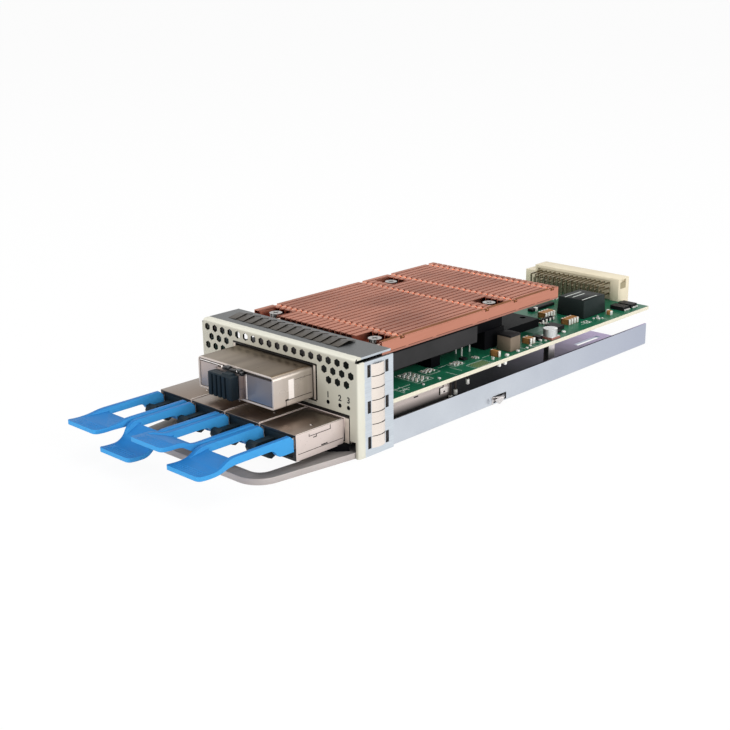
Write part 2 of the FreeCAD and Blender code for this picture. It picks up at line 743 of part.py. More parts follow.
# Host connector of the line module and the cast cover over it
def line_connector():
    front = f"({LINE_REAR} + 2 * piece_clearance)"
    half = "(line_width / 2 - 2)"
    solid = block("line_connector_solid", around("line_centre", half), (front, f"{front} + connector_depth"),
                  (BOARD_TOP, f"{BOARD_TOP} + connector_height"))
    slot = block("line_connector_slot", around("line_centre", "line_width / 2 - 4 + piece_clearance"),
                 (f"{front} - 1", f"{front} + tongue_length"),
                 around(f"{LINE_FOOT} + line_height / 2", "tongue_thickness / 2 + piece_clearance"))
    node("line_connector", cut("line_connector_cut", solid, slot))
    sides = around("line_centre", "cover_half_width")
    tall_reach = (COVER_FRONT, f"{COVER_FRONT} + cover_tall_length")
    tall = block("cover_tall", sides, tall_reach, (BOARD_TOP, f"{RAIL_TOP} - rail_sheet"))
    wing = block("cover_wing", around("line_centre", "rail_half_width - cover_wing_inset"), tall_reach,
                 (BOARD_TOP, f"{BOARD_TOP} + cover_wing_height"))
    low = block("cover_low", sides, (COVER_FRONT, f"{COVER_FRONT} + cover_length"),
                (BOARD_TOP, f"{BOARD_TOP} + cover_low_height"))
    crown = block("cover_crown", around("line_centre", f"{half} + cover_wall"),
                  (COVER_FRONT, f"{front} + connector_depth + cover_wall"),
                  (BOARD_TOP, f"{BOARD_TOP} + connector_height + cover_wall"))
    cavity = block("cover_cavity", around("line_centre", f"{half} + piece_clearance"),
                   (f"{COVER_FRONT} - 1", f"{front} + connector_depth + piece_clearance"),
                   (f"{BOARD_TOP} - 1", f"{BOARD_TOP} + connector_height + piece_clearance"))
    ears = [rod(f"ear_hole_{name}", "screw_radius + piece_clearance",
                (f"line_centre {sign} ear_offset", f"{COVER_FRONT} + cover_length - ear_margin"),
                (f"{BOARD_TOP} - 1", f"{BOARD_TOP} + cover_low_height + 1"))
            for name, sign in (("left", "-"), ("right", "+"))]
    node("connector_cover", cut("cover_bored", fuse("cover_solid", tall, wing, low, crown), cavity, *ears))


# Folded rails on both sides of the line cage, which take the cooler's screws. Each stands on a foot
# block and on the cover behind it, and its skirt is shorter there.
def cooler_rails():
    rails = []
    feet = []
    for name, sign in (("left", "-"), ("right", "+")):
        def across(low, high, sign=sign):
            sides = (f"line_centre {sign} ({low})", f"line_centre {sign} ({high})")
            return sides if sign == "+" else sides[::-1]
        outer = "rail_half_width"
        inner = "(rail_half_width - rail_top_width)"
        skirt = across(f"{outer} - rail_sheet", outer)
        pieces = [
            block(f"rail_top_{name}", across(inner, outer), ("rail_front", "rail_rear"),
                  (f"{RAIL_TOP} - rail_sheet", RAIL_TOP)),
            block(f"rail_skirt_{name}", skirt, ("rail_front", f"{COVER_FRONT} - rail_skirt_gap"),
                  (f"{RAIL_TOP} - rail_skirt", RAIL_TOP)),
            block(f"rail_short_skirt_{name}", skirt, ("rail_front", "rail_rear"),
                  (f"{RAIL_TOP} - rail_short_skirt", RAIL_TOP)),
        ]
        holes = [rod(f"rail_hole_{name}_{end}", "screw_radius + thread_clearance",
                     (f"line_centre {sign} cooler_screw_half_spacing", f"cooler_front + cooler_screw_{end}"),
                     (f"{RAIL_TOP} - rail_sheet - 1", f"{RAIL_TOP} + 1")) for end in ("front", "rear")]
        rails.append(cut(f"rail_{name}", fuse(f"rail_folded_{name}", *pieces), *holes))
        feet.append(block(f"rail_foot_{name}", across(inner, f"{outer} - rail_sheet"),
                          ("rail_foot_front", "rail_foot_front + rail_foot_length"),
                          (BOARD_TOP, f"{RAIL_TOP} - rail_sheet")))
    node("cooler_rails", group("rail_pair", *rails))
    node("rail_feet", group("rail_foot_pair", *feet))


# Copper cooler: base plate with a pedestal, capped fins, screws and springs
def cooler_screw_spots():
    return [(f"line_centre {sign} cooler_screw_half_spacing", f"cooler_front + cooler_screw_{end}")
            for sign in "-+" for end in ("front", "rear")]


def cooler_base():
    plate = block("cooler_plate", (COOLER_LEFT, COOLER_RIGHT), ("cooler_front", COOLER_REAR),
                  (COOLER_FOOT, f"{COOLER_FOOT} + cooler_base"))
    pedestal = block("cooler_pedestal", around("line_centre", "line_width / 2 - pedestal_side"),
                     ("cooler_front + pedestal_front", "cooler_front + pedestal_front + pedestal_length"),
                     (f"{LINE_TOP} + piece_clearance", COOLER_FOOT))
    holes = [rod(f"base_hole_{k}", "screw_radius + 2 * piece_clearance", spot,
                 (f"{COOLER_FOOT} - 1", f"{COOLER_FOOT} + cooler_base + 1"))
             for k, spot in enumerate(cooler_screw_spots())]
    node("cooler_base", cut("cooler_base_bored", fuse("cooler_base_solid", plate, pedestal), *holes))


def fin_stack():
    body = doc.addObject("PartDesign::Body", "fin_body")
    foot = f"({COOLER_FOOT} + cooler_base)"
    floor = outline(sketch(body, "fin_floor_section", "XZ_Plane", "-cooler_front"), [
        (COOLER_LEFT, foot), (COOLER_RIGHT, foot), (COOLER_RIGHT, COOLER_TOP),
        (f"{COOLER_RIGHT} - fin_wall", COOLER_TOP), (f"{COOLER_RIGHT} - fin_wall", f"{foot} + fin_wall"),
        (COOLER_LEFT, f"{foot} + fin_wall")])
    pad(body, "fin_floor", floor, "cooler_length", backwards=True)
    step = "((cooler_width - fin_wall) / fin_count)"
    section = outline(sketch(body, "fin_section", "XZ_Plane", "-cooler_front"), [
        (COOLER_LEFT, foot), (f"{COOLER_LEFT} + fin_wall", foot),
        (f"{COOLER_LEFT} + fin_wall", f"{COOLER_TOP} - fin_wall"),
        (f"{COOLER_LEFT} + fin_cap", f"{COOLER_TOP} - fin_wall"), (f"{COOLER_LEFT} + fin_cap", COOLER_TOP),
        (COOLER_LEFT, COOLER_TOP)])
    fin = pad(body, "first_fin", section, "cooler_length", backwards=True)
    row = body.newObject("PartDesign::LinearPattern", "fin_row")
    row.Originals = [fin]
    row.Direction = (section, ["H_Axis"])
    row.setExpression("Length", bound(f"{step} * (fin_count - 1)"))
    row.setExpression("Occurrences", bound("fin_count"))
    body.Tip = row
    tools = []
    for name in ("first", "second", "third", "fourth"):
        tools.append(block(f"groove_{name}", (f"{COOLER_LEFT} - 1", f"{COOLER_RIGHT} + 1"),
                           around(f"cooler_front + groove_{name}", "groove_width / 2"),
                           (f"{COOLER_TOP} - groove_depth", f"{COOLER_TOP} + 1")))
    for k, (x, y) in enumerate(cooler_screw_spots()):
        reach = around(y, "pocket_length / 2")
        if "front" in y.split("_")[-1]:
            reach = ("cooler_front - 1", reach[1])
        tools.append(block(f"screw_pocket_{k}", around(x, "pocket_width / 2"), reach,
                           (f"{foot} - 1", f"{COOLER_TOP} + 1")))
    node("fin_stack", cut("fin_stack_cut", body, *tools))


def cooler_screws():
    head_top = f"({COOLER_TOP} - cooler_head_drop)"
    head_foot = f"({head_top} - cooler_head_height)"
    screws = []
    for k, spot in enumerate(cooler_screw_spots()):
        head = rod(f"cooler_head_{k}", "cooler_head_radius", spot, (head_foot, head_top))
        shank = rod(f"cooler_shank_{k}", "screw_radius", spot,
                    (f"{RAIL_TOP} - cooler_screw_depth", head_foot))
        drive = [block(f"cooler_drive_{k}_{way}", around(spot[0], f"cooler_head_radius * {long}"),
                       around(spot[1], f"cooler_head_radius * {wide}"),
                       (f"{head_top} - cooler_head_height / 2", f"{head_top} + 1"))
                 for way, long, wide in (("x", 0.55, 0.12), ("y", 0.12, 0.55))]
        screws.append(cut(f"cooler_screw_{k}", fuse(f"cooler_screw_solid_{k}", head, shank), *drive))
    node("cooler_screws", group("cooler_screw_group", *screws))


def cooler_springs():
    """Four coils of flat wire between the base plate and the screws' heads."""
    board_top = size("board_underside") + size("board_thickness")
    base_top = board_top + size("cooler_lift") + size("cooler_base")
    head_foot = (board_top + size("cooler_lift") + size("cooler_height") - size("cooler_head_drop")
                 - size("cooler_head_height"))
    wire = size("spring_wire") / 2
    radius = size("spring_radius")
    rise = head_foot - base_top - 2 * wire
    section = [FreeCAD.Vector(radius + across, 0, up) for across, up in (
        (-wire, -wire), (wire, -wire), (wire, wire), (-wire, wire), (-wire, -wire))]
    sides, steps = 8, 12
    turn = 2 * math.pi / sides
    path = Part.makePolygon([
        FreeCAD.Vector(radius * math.cos(turn * k), radius * math.sin(turn * k), rise * k / steps)
        for k in range(steps + 1)])
    coils = []
    for sign in (-1, 1):
        for end in ("front", "rear"):
            x = size("line_centre") + sign * size("cooler_screw_half_spacing")
            y = size("cooler_front") + size(f"cooler_screw_{end}")
            coil = path.makePipeShell([Part.makePolygon(section)], True, True, 1)
            coil.translate(FreeCAD.Vector(x, y, base_top + wire))
            coils.append(coil)
    node("cooler_springs", made("spring_coils", Part.makeCompound(coils)))


# Client cage: one ganged sheet box under the board, open in front, with a bay for each module
def client_spots():
    return [f"(client_first + {k} * client_pitch)" for k in range(4)]


def client_cage():
    rear = "client_cage_length"
    outside = block("client_cage_outside", (CLIENT_CAGE_LEFT, CLIENT_CAGE_RIGHT), ("0", rear),
                    (CLIENT_CAGE_FOOT, CLIENT_CAGE_TOP))
    webs = [block(f"client_cage_web_{name}", sides, ("board_front", rear),
                  (CLIENT_CAGE_FOOT, "board_underside"))
            for name, sides in (("left", (CLIENT_CAGE_LEFT, f"{CLIENT_CAGE_LEFT} + cage_sheet")),
                                ("right", (f"{CLIENT_CAGE_RIGHT} - cage_sheet", CLIENT_CAGE_RIGHT)))]
    tools = []
    for k, x in enumerate(client_spots()):
        tools.append(block(f"client_bay_{k}", around(x, CLIENT_BAY_HALF), ("-1", f"{rear} - cage_sheet"),
                           (f"{CLIENT_CAGE_FOOT} + cage_sheet", f"{CLIENT_CAGE_TOP} - cage_sheet")))
        tools.append(block(f"client_hatch_{k}", around(x, CLIENT_BAY_HALF),
                           ("client_depth - tongue_length", f"{rear} - cage_sheet"),
                           (f"{CLIENT_CAGE_TOP} - 1", f"{CLIENT_CAGE_TOP} + 1")))
    node("client_cage", cut("client_cage_folded", fuse("client_cage_solid", outside, *webs), *tools))
    frame = block("client_gasket_outside",
                  (f"{CLIENT_CAGE_LEFT} - client_cutout_left + gasket_clearance",
                   f"{CLIENT_CAGE_RIGHT} + client_cutout_right - gasket_clearance"),
                  ("0", "board_front - gasket_clearance"),
                  (f"{CLIENT_CAGE_FOOT} - client_cutout_below + gasket_clearance",
                   f"{CLIENT_CAGE_TOP} + client_cutout_above - gasket_clearance"))
    hole = block("client_gasket_hole",
                 (f"{CLIENT_CAGE_LEFT} - gasket_clearance", f"{CLIENT_CAGE_RIGHT} + gasket_clearance"),
                 ("-1", "board_front + 1"),
                 (f"{CLIENT_CAGE_FOOT} - gasket_clearance", f"{CLIENT_CAGE_TOP} + gasket_clearance"))
    node("client_cage_gasket", cut("client_gasket_frame", frame, hole))


def client_connectors():
    front = "(client_depth + 2 * piece_clearance)"
    pieces = []
    for k, x in enumerate(client_spots()):
        solid = block(f"client_connector_solid_{k}", around(x, f"{CLIENT_BAY_HALF} - client_bay_gap"),
                      (front, "client_cage_length - cage_sheet - client_bay_gap"),
                      (f"{CLIENT_FOOT} + piece_clearance", "board_underside"))
        slot = block(f"client_connector_slot_{k}",
                     around(x, "client_width / 2 - client_recess_side + piece_clearance"),
                     (f"{front} - 1", f"{front} + tongue_length"),
                     around(f"{CLIENT_FOOT} + client_height / 2", "tongue_thickness / 2 + piece_clearance"))
        pieces.append(cut(f"client_connector_{k}", solid, slot))
    node("client_connectors", group("client_connector_group", *pieces))


# Client module: housing with a recessed front, its dust plug, release slider and pull tab
def client_module(number, x):
    half = "client_width / 2"
    front = "-client_reach"
    nose = block(f"client_nose_{number}", around(x, half), (front, "-client_panel_gap"),
                 (f"{CLIENT_FOOT} - client_lip", "client_top"))
    rear = block(f"client_rear_{number}", around(x, half), (front, "client_depth"),
                 (CLIENT_FOOT, "client_top"))
    tongue = block(f"client_tongue_{number}", around(x, f"{half} - client_recess_side"),
                   ("client_depth", "client_depth + tongue_length"),
                   around(f"{CLIENT_FOOT} + client_height / 2", "tongue_thickness / 2"))
    recess_heights = (f"{CLIENT_FOOT} - client_lip + client_recess_edge", "client_top - client_recess_edge")
    tools = [block(f"client_recess_{number}", around(x, f"{half} - client_recess_side"),
                   (f"{front} - 1", f"{front} + client_recess_depth"), recess_heights)]
    strips = []
    strip_top = "client_top - client_recess_edge"
    for name, sign in (("left", "-"), ("right", "+")):
        middle = f"{x} {sign} ({half} - slider_inset - slider_sheet / 2)"
        tools.append(block(f"slider_slot_{name}_{number}", around(middle, "slider_sheet / 2 + slider_play"),
                           (f"{front} - 1", f"{front} + slider_length"),
                           (f"{strip_top} - slider_height - slider_play", f"{strip_top} + slider_play")))
        strips.append(block(f"slider_{name}_{number}", around(middle, "slider_sheet / 2"),
                            (f"{front} - tab_gap - slider_embed",
                             f"{front} + slider_length - 2 * slider_embed"),
                            (f"{strip_top} - slider_height", strip_top)))
    node(f"client_module_{number}", cut(f"client_housing_{number}",
                                        fuse(f"client_solid_{number}", nose, rear, tongue), *tools))
    slider = node(f"release_slider_{number}", group(f"slider_pair_{number}", *strips))
    client_plug(number, x, recess_heights)
    return slider


def client_plug(number, x, heights):
    """Black dust plug: a block in the recess and two knobs to pull it by."""
    front = "(-client_reach + piece_clearance)"
    middle = f"(({heights[0]} + {heights[1]}) / 2)"
    pieces = [block(f"plug_body_{number}",
                    around(x, "client_width / 2 - client_recess_side - piece_clearance"),
                    (front, "-client_reach + client_recess_depth"),
                    (f"{heights[0]} + piece_clearance", f"{heights[1]} - piece_clearance"))]
    for name, sign in (("left", "-"), ("right", "+")):
        spot = f"{x} {sign} knob_spacing / 2"
        tip = f"({front} - knob_reach + knob_radius)"
        knob = doc.addObject("Part::Prism", f"plug_knob_{name}_{number}")
        knob.Polygon = 8
        knob.setExpression("Circumradius", bound("knob_radius"))
        knob.setExpression("Height", bound("knob_width"))
        knob.Placement = FreeCAD.Placement(FreeCAD.Vector(), FreeCAD.Rotation(FreeCAD.Vector(0, 1, 0), 90))
        place(knob, f"{spot} - knob_width / 2", tip, middle)
        pieces.append(knob)
        pieces.append(block(f"plug_neck_{name}_{number}", around(spot, "knob_neck / 2"), (tip, front),
                            around(middle, "knob_neck / 2")))
    node(f"client_plug_{number}", fuse(f"plug_solid_{number}", *pieces))


def bow(start, end, sag):
    """An arc in the YZ plane that leaves the middle of its chord by the sag, along Z."""
    middle = FreeCAD.Vector(0, (start[0] + end[0]) / 2, (start[1] + end[1]) / 2 + sag)
    return Part.Arc(FreeCAD.Vector(0, *start), middle, FreeCAD.Vector(0, *end)).toShape()


def swan(start, end):
    """Two arcs that leave and arrive level, with a smooth change of direction between them."""
    y_middle, z_middle = (start[0] + end[0]) / 2, (start[1] + end[1]) / 2
    length, height = end[0] - start[0], end[1] - start[1]
    radius = (length ** 2 + height ** 2) / (4 * abs(height))
    turn = math.asin(min(1, abs(length) / (2 * radius))) / 2
    across = math.copysign(radius * math.sin(turn), length)
    along_z = math.copysign(radius * (1 - math.cos(turn)), height)
    middle = FreeCAD.Vector(0, y_middle, z_middle)
    leaving = FreeCAD.Vector(0, start[0] + across, start[1] + along_z)
    arriving = FreeCAD.Vector(0, end[0] - across, end[1] - along_z)
    return [Part.Arc(FreeCAD.Vector(0, *start), leaving, middle).toShape(),
            Part.Arc(middle, arriving, FreeCAD.Vector(0, *end)).toShape()]


def straight(start, end):
    return Part.makeLine(FreeCAD.Vector(0, *start), FreeCAD.Vector(0, *end))


def tab_profile(drop):
    """Side view of a pull tab: tall root, slim arm, an S bend and a flat pad."""
    root = -size("client_reach") - size("tab_gap")
    top = size("client_top")
    low = top - size("tab_root_height")
    arm_low = top - size("tab_arm_height")
    lobe = root - size("tab_root_length")
    wave = lobe - size("tab_root_length")
    bend = root - size("tab_arm_length")
    pad_start = bend - size("tab_bend_length")
    tip = pad_start - size("tab_pad_length")
    pad_top = top - drop
    pad_low = pad_top - size("tab_pad_thickness")
    lip = size("tab_pad_lip")
    corner = size("tab_corner_radius")
    sag = lip / 3
    edges = [
        straight((root, low), (root, top - corner)),
        straight((root, top - corner), (root - corner, top)),
        straight((root - corner, top), (bend, top)),
        *swan((bend, top), (pad_start, pad_top)),
        bow((pad_start, pad_top), (tip, pad_top + lip), -sag),
        straight((tip, pad_top + lip), (tip, pad_low + lip)),
        bow((tip, pad_low + lip), (pad_start, pad_low), -sag),
        *swan((pad_start, pad_low), (bend, arm_low)),
        straight((bend, arm_low), (wave, arm_low)),
        *swan((wave, arm_low), (lobe, low)),
        straight((lobe, low), (root, low)),
    ]
    dish = [(bend, top - size("tab_web_dish")), (pad_start, pad_top)]
    return Part.Face(Part.Wire(edges)), root, bend, tip, dish


def pull_tab(number, x_centre, drop, slider):
    """Pull tab: its side view swept across, trimmed to a fork in plan and seated on the slider."""
    face, root, bend, tip, dish = tab_profile(drop)
    half = size("client_width") / 2 - size("slider_inset") + size("slider_play")
    solid = face.extrude(FreeCAD.Vector(2 * half, 0, 0))
    solid.translate(FreeCAD.Vector(x_centre - half, 0, 0))
    tall = 4 * size("client_top")
    window_half = half - size("tab_arm_width")
    window = Part.makeBox(2 * window_half, root - bend + 1, tall,
                          FreeCAD.Vector(x_centre - window_half, bend, -tall / 2))
    ends = [edge for edge in window.Edges if along(edge, "z") and near(edge, y=bend)]
    window = window.makeFillet(size("tab_window_radius"), ends)
    plan = Part.makeBox(2 * half, root - tip, tall, FreeCAD.Vector(x_centre - half, tip, -tall / 2))
    corners = [edge for edge in plan.Edges if along(edge, "z") and near(edge, y=tip)]
    plan = plan.makeFillet(size("tab_corner_radius"), corners)
    corners = [FreeCAD.Vector(x_centre - window_half, y, z) for y, z in (
        *dish, (dish[1][0], tall), (bend + size("tab_window_radius"), tall),
        (bend + size("tab_window_radius"), dish[0][1]))]
    hollow = Part.Face(Part.makePolygon(corners + corners[:1])).extrude(FreeCAD.Vector(2 * window_half, 0, 0))
    tab = solid.common(plan).cut(window).cut(hollow)
    for strip in slider.Shape.Solids:
        tab = tab.cut(strip)
    node(f"pull_tab_{number}", made(f"pull_tab_{number}_solid", tab.Solids[0]))


# Finger strips: thin bent sheets with slits that leave one long edge whole
def arch(width, rise, sheet_thickness):
    """Section of an arched strip, from (0, 0) to (width, 0)."""
    def arc(height, margin):
        ends = [FreeCAD.Vector(margin, 0, 0), FreeCAD.Vector(width / 2, height, 0),
                FreeCAD.Vector(width - margin, 0, 0)]
        return Part.Arc(*ends).toShape()
    outer = arc(rise, 0)
    inner = arc(rise - sheet_thickness, sheet_thickness)
    left = Part.makeLine(FreeCAD.Vector(0, 0, 0), FreeCAD.Vector(sheet_thickness, 0, 0))
    right = Part.makeLine(FreeCAD.Vector(width - sheet_thickness, 0, 0), FreeCAD.Vector(width, 0, 0))
    return Part.Face(Part.Wire([outer, right, inner, left]))


def tent(width, ridge, rise, sheet_thickness):
    """Section of a strip folded once, with its ridge at a distance from the first edge."""
    front_foot = sheet_thickness * math.hypot(ridge, rise) / rise
    rear_foot = sheet_thickness * math.hypot(width - ridge, rise) / rise
    corners = [FreeCAD.Vector(x, y, 0) for x, y in (
        (0, 0), (ridge, rise), (width, 0), (width - rear_foot, 0), (ridge, rise - sheet_thickness),
        (front_foot, 0))]
    return Part.Face(Part.makePolygon(corners + corners[:1]))


def finger_strip(section, pitch, count, slit_start):
    """A strip that lies along Z, bent towards +Y, from its first finger's edge."""
    slit = size("finger_slit")
    strip = section.extrude(FreeCAD.Vector(0, 0, count * pitch))
    reach = strip.BoundBox
    for k in range(1, count):
        corner = FreeCAD.Vector(slit_start, -1, k * pitch - slit / 2)
        gap = Part.makeBox(reach.XMax, reach.YMax + 2, slit, corner)
        strip = strip.cut(gap)
    return strip


def gaskets():
    thickness = size("finger_sheet")
    width = size("side_strip_width")
    side = finger_strip(arch(width, size("side_strip_rise"), thickness), size("finger_pitch"),
                        int(size("side_strip_count")), width / 3)
    side.rotate(FreeCAD.Vector(), FreeCAD.Vector(0, 0, 1), -90)
    side.translate(FreeCAD.Vector(size("panel_width") / 2, size("side_strip_front") + width,
                                  size("side_strip_foot")))
    node("side_gasket", made("side_strip", side))
    ridge = size("top_strip_ridge")
    folded = tent(size("top_strip_width"), ridge, size("top_strip_rise"), thickness)
    top = finger_strip(folded, size("top_finger_pitch"), int(size("top_strip_count")), ridge / 3)
    top.rotate(FreeCAD.Vector(), FreeCAD.Vector(1, 1, 1), 120)
    top.translate(FreeCAD.Vector(size("top_strip_start") - size("panel_width") / 2, size("top_strip_front"),
                                 size("panel_height")))
    node("top_gasket", made("top_strip", top))


# Spring latches: a leaf along the inside of each wall, with a nose through its window
def side_latches():
    wall_in = (size("panel_width") / 2 - size("panel_sheet") - size("wall_clearance") - size("tray_sheet"))
    wall_out = wall_in + size("tray_sheet")
    leaf = size("latch_sheet")
    gap = size("latch_edge_gap")
    front = size("latch_front") + gap
    rear = size("latch_front") + size("latch_length") - gap
    tip = wall_out + size("latch_nose")
    crest = front + 0.6 * (rear - front)
    outline_points = [
        (wall_in, front - size("latch_arm")), (wall_in, front), (tip, crest), (wall_in + leaf, rear),
        (wall_in, rear), (wall_in, rear - leaf), (tip - 1.6 * leaf, crest), (wall_in - leaf, front + leaf),
        (wall_in - leaf, front - size("latch_arm"))]
    foot = size("tray_sheet") + gap
    height = size("latch_window_height") - 2 * gap
    pieces = []
    for sign in (1, -1):
        points = [FreeCAD.Vector(sign * x, y, foot) for x, y in outline_points]
        face = Part.Face(Part.makePolygon(points + points[:1]))
        pieces.append(face.extrude(FreeCAD.Vector(0, 0, height)))
    node("side_latches", made("latch_pair", Part.makeCompound(pieces)))


# Backplane connector: shrouded housing with two cheeks, and rows of bent pins
def connector_pins():
    board_top = size("board_underside") + size("board_thickness")
    middle = (size("backplane_left") + size("left_cheek") + size("backplane_right") - size("right_cheek")) / 2
    columns = int(size("pin_columns"))
    pitch = size("pin_pitch")
    half = size("pin_size") / 2
    tip = size("backplane_front") + size("backplane_depth") - size("shroud_depth") + size("pin_mating_length")
    core = board_top + size("backplane_height") / 2
    pins = []
    for level in range(3):
        height = core + (level - 1) * pitch
        bend = size("backplane_front") - size("pin_first_tail") - level * pitch
        points = [(tip, height - half), (tip, height + half), (bend - half, height + half),
                  (bend - half, board_top), (bend + half, board_top), (bend + half, height - half)]
        for column in range(columns):
            x = middle + (column - (columns - 1) / 2) * pitch - half
            corners = [FreeCAD.Vector(x, y, z) for y, z in points]
            face = Part.Face(Part.makePolygon(corners + corners[:1]))
            pins.append(face.extrude(FreeCAD.Vector(2 * half, 0, 0)))
    return node("connector_pins", made("pin_rows", Part.makeCompound(pins)))


def backplane_connector(pins):
    front = "backplane_front"
    rear = "(backplane_front + backplane_depth)"
    top = f"({BOARD_TOP} + backplane_height)"
    inside = (f"{SHROUD_LEFT} + shroud_wall", f"{SHROUD_RIGHT} - shroud_wall")
    solid = fuse(
        "backplane_solid",
        block("backplane_main", (SHROUD_LEFT, "backplane_right"), (front, rear), (BOARD_TOP, top)),
        block("backplane_cheek", ("backplane_left", SHROUD_LEFT), (front, rear),
              (BOARD_TOP, f"{top} - cheek_drop")),
        block("backplane_skirt", ("backplane_left", "backplane_right"), ("board_rear + wall_clearance", rear),
              ("board_underside", f"{BOARD_TOP} + shroud_wall")))
    cavity = block("backplane_cavity", inside, (f"{rear} - shroud_depth", f"{rear} + 1"),
                   (f"{BOARD_TOP} + shroud_wall", f"{top} - shroud_wall"))
    recess = block("backplane_recess", inside, (f"{front} - 1", f"{front} + pin_recess"),
                   (f"{BOARD_TOP} - 1", f"{top} - shroud_wall"))
    key = block("backplane_key", ("backplane_right - key_pocket_depth", "backplane_right + 1"),
                around(f"{front} + backplane_depth / 2", "key_pocket / 2"),
                (f"{top} - shroud_wall / 2 - key_pocket", f"{top} - shroud_wall / 2"))
    housing = cut("backplane_shroud", solid, cavity, recess, key)
    node("backplane_connector", cut("backplane_with_pin_holes", housing, pins))


# Parts soldered to the top of the board
def board_parts():
    node("power_block", block("power_brick", ("power_left", "power_left + power_width"),
                              ("power_front", "power_front + power_length"),
                              (BOARD_TOP, f"{BOARD_TOP} + power_height")))
    node("inductor", block("inductor_core", ("inductor_left", "inductor_left + inductor_width"),
                           ("inductor_front", "inductor_front + inductor_length"),
                           (BOARD_TOP, f"{BOARD_TOP} + inductor_height")))
    centre = (f"{BOARD_HALF} - can_inset", "can_distance")
    base = block("can_foot", around(centre[0], "can_radius"), around(centre[1], "can_radius"),
                 (BOARD_TOP, f"{BOARD_TOP} + can_base"))
    can = rod("can_body", "can_radius", centre, (f"{BOARD_TOP} + can_base", f"{BOARD_TOP} + can_height"))
    node("filter_can", fuse("can_on_foot", base, can))
    chips = [block(f"chip_{k}", ("chip_left", "chip_left + chip_width"),
                   (f"chip_front + {k} * chip_step", f"chip_front + chip_length + {k} * chip_step"),
                   (BOARD_TOP, f"{BOARD_TOP} + chip_height")) for k in range(2)]
    for name in ("driver", "diode"):
        chips.append(block(f"{name}_chip", (f"{name}_left", f"{name}_left + {name}_width"),
                           (f"{name}_front", f"{name}_front + {name}_length"),
                           (BOARD_TOP, f"{BOARD_TOP} + chip_height")))
    node("logic_chips", group("chip_set", *chips))
    pieces = []
    for name, count in (("first", 4), ("second", 4), ("third", 1), ("fourth", 2)):
        left = f"ceramic_{name}_left"
        for k in range(count):
            front = f"ceramic_{name}_front + {k} * ceramic_step"
            pieces.append(block(f"ceramic_{name}_{k}", (left, f"{left} + ceramic_length"),
                                (front, f"{front} + ceramic_width"),
                                (BOARD_TOP, f"{BOARD_TOP} + ceramic_height")))
    node("ceramic_capacitors", group("ceramic_rows", *pieces))


def status_lights():
    lights = []
    for name in ("first", "second", "third"):
        x = f"panel_width / 2 - light_{name}"
        lens = rod(f"light_lens_{name}", "light_radius", (x, f"{BOARD_TOP} + light_radius"),
                   ("panel_sheet / 2", "board_front"), "y")
        base = block(f"light_base_{name}", around(x, "light_body / 2"),
                     ("board_front", "board_front + light_body"),
                     (BOARD_TOP, f"{BOARD_TOP} + 2.5 * light_radius"))
        lights.append(fuse(f"light_{name}_solid", lens, base))
    node("status_lights", group("light_row", *lights))


def main():
    front_panel()
    tray()
    gaskets()
    handle()
    countersunk("handle_screws", handle_screw_spots(), "handle_thickness - tray_sheet")
    main_board()
    standoffs()
    countersunk("board_screws", post_spots(), "tray_sheet + screw_length")
    line_module()
    line_cage()
    line_connector()
    cooler_rails()
    cooler_base()
    fin_stack()
    cooler_screws()
    cooler_springs()
    client_cage()
    client_connectors()
    drops = ("first", "second", "third", "fourth")
    sliders = [client_module(k + 1, x) for k, x in enumerate(client_spots())]
    doc.recompute()
    for k, slider in enumerate(sliders):
        x_centre = size("client_first") + k * size("client_pitch")
        pull_tab(k + 1, x_centre, size(f"tab_drop_{drops[k]}"), slider)
    side_latches()
    backplane_connector(connector_pins())
    board_parts()
    status_lights()
    doc.recompute()
    export()


def export():
    """Check every object, then write each piece to its own file."""
    for item in doc.Objects:
        if "Invalid" in item.State or "Error" in item.State:
            raise RuntimeError(f"{item.Label} did not build: {item.State}")
    for item in nodes:
        if item.Shape.isNull() or not item.Shape.isValid() or not item.Shape.Solids:
            raise RuntimeError(f"{item.Label} has no valid solid")
    os.makedirs("parts", exist_ok=True)
    for item in nodes:
        item.Shape.exportStep(f"parts/{item.Label}.step")


main()
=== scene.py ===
import json
import math

import bmesh
import bpy
from mathutils import Matrix, Vector
from mathutils.bvhtree import BVHTree


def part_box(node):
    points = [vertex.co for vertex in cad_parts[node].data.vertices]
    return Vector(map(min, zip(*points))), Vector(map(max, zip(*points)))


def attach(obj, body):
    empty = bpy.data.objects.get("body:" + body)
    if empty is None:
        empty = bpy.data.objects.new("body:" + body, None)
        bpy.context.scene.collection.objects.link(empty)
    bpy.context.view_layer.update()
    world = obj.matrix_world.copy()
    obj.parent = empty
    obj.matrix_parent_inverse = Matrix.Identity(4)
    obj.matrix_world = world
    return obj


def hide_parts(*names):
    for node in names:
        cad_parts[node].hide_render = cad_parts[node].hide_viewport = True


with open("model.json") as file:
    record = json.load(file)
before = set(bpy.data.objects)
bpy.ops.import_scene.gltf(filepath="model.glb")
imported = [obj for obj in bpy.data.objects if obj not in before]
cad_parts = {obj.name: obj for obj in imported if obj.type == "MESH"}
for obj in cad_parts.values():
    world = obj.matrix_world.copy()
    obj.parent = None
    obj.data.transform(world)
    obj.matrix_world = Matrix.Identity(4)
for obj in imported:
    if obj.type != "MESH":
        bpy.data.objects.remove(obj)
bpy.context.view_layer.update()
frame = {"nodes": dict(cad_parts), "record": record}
scene = bpy.context.scene
scene.view_settings.view_transform = "Standard"

# Lengths are in millimetres, unless a heading says metres, and MM turns them into Blender's metres
MM = 0.001
SKIN = 0.04
ABOVE_ALL = 100


def corners(node):
    """A CAD node's box at rest, in millimetres."""
    low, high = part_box(node)
    return low / MM, high / MM


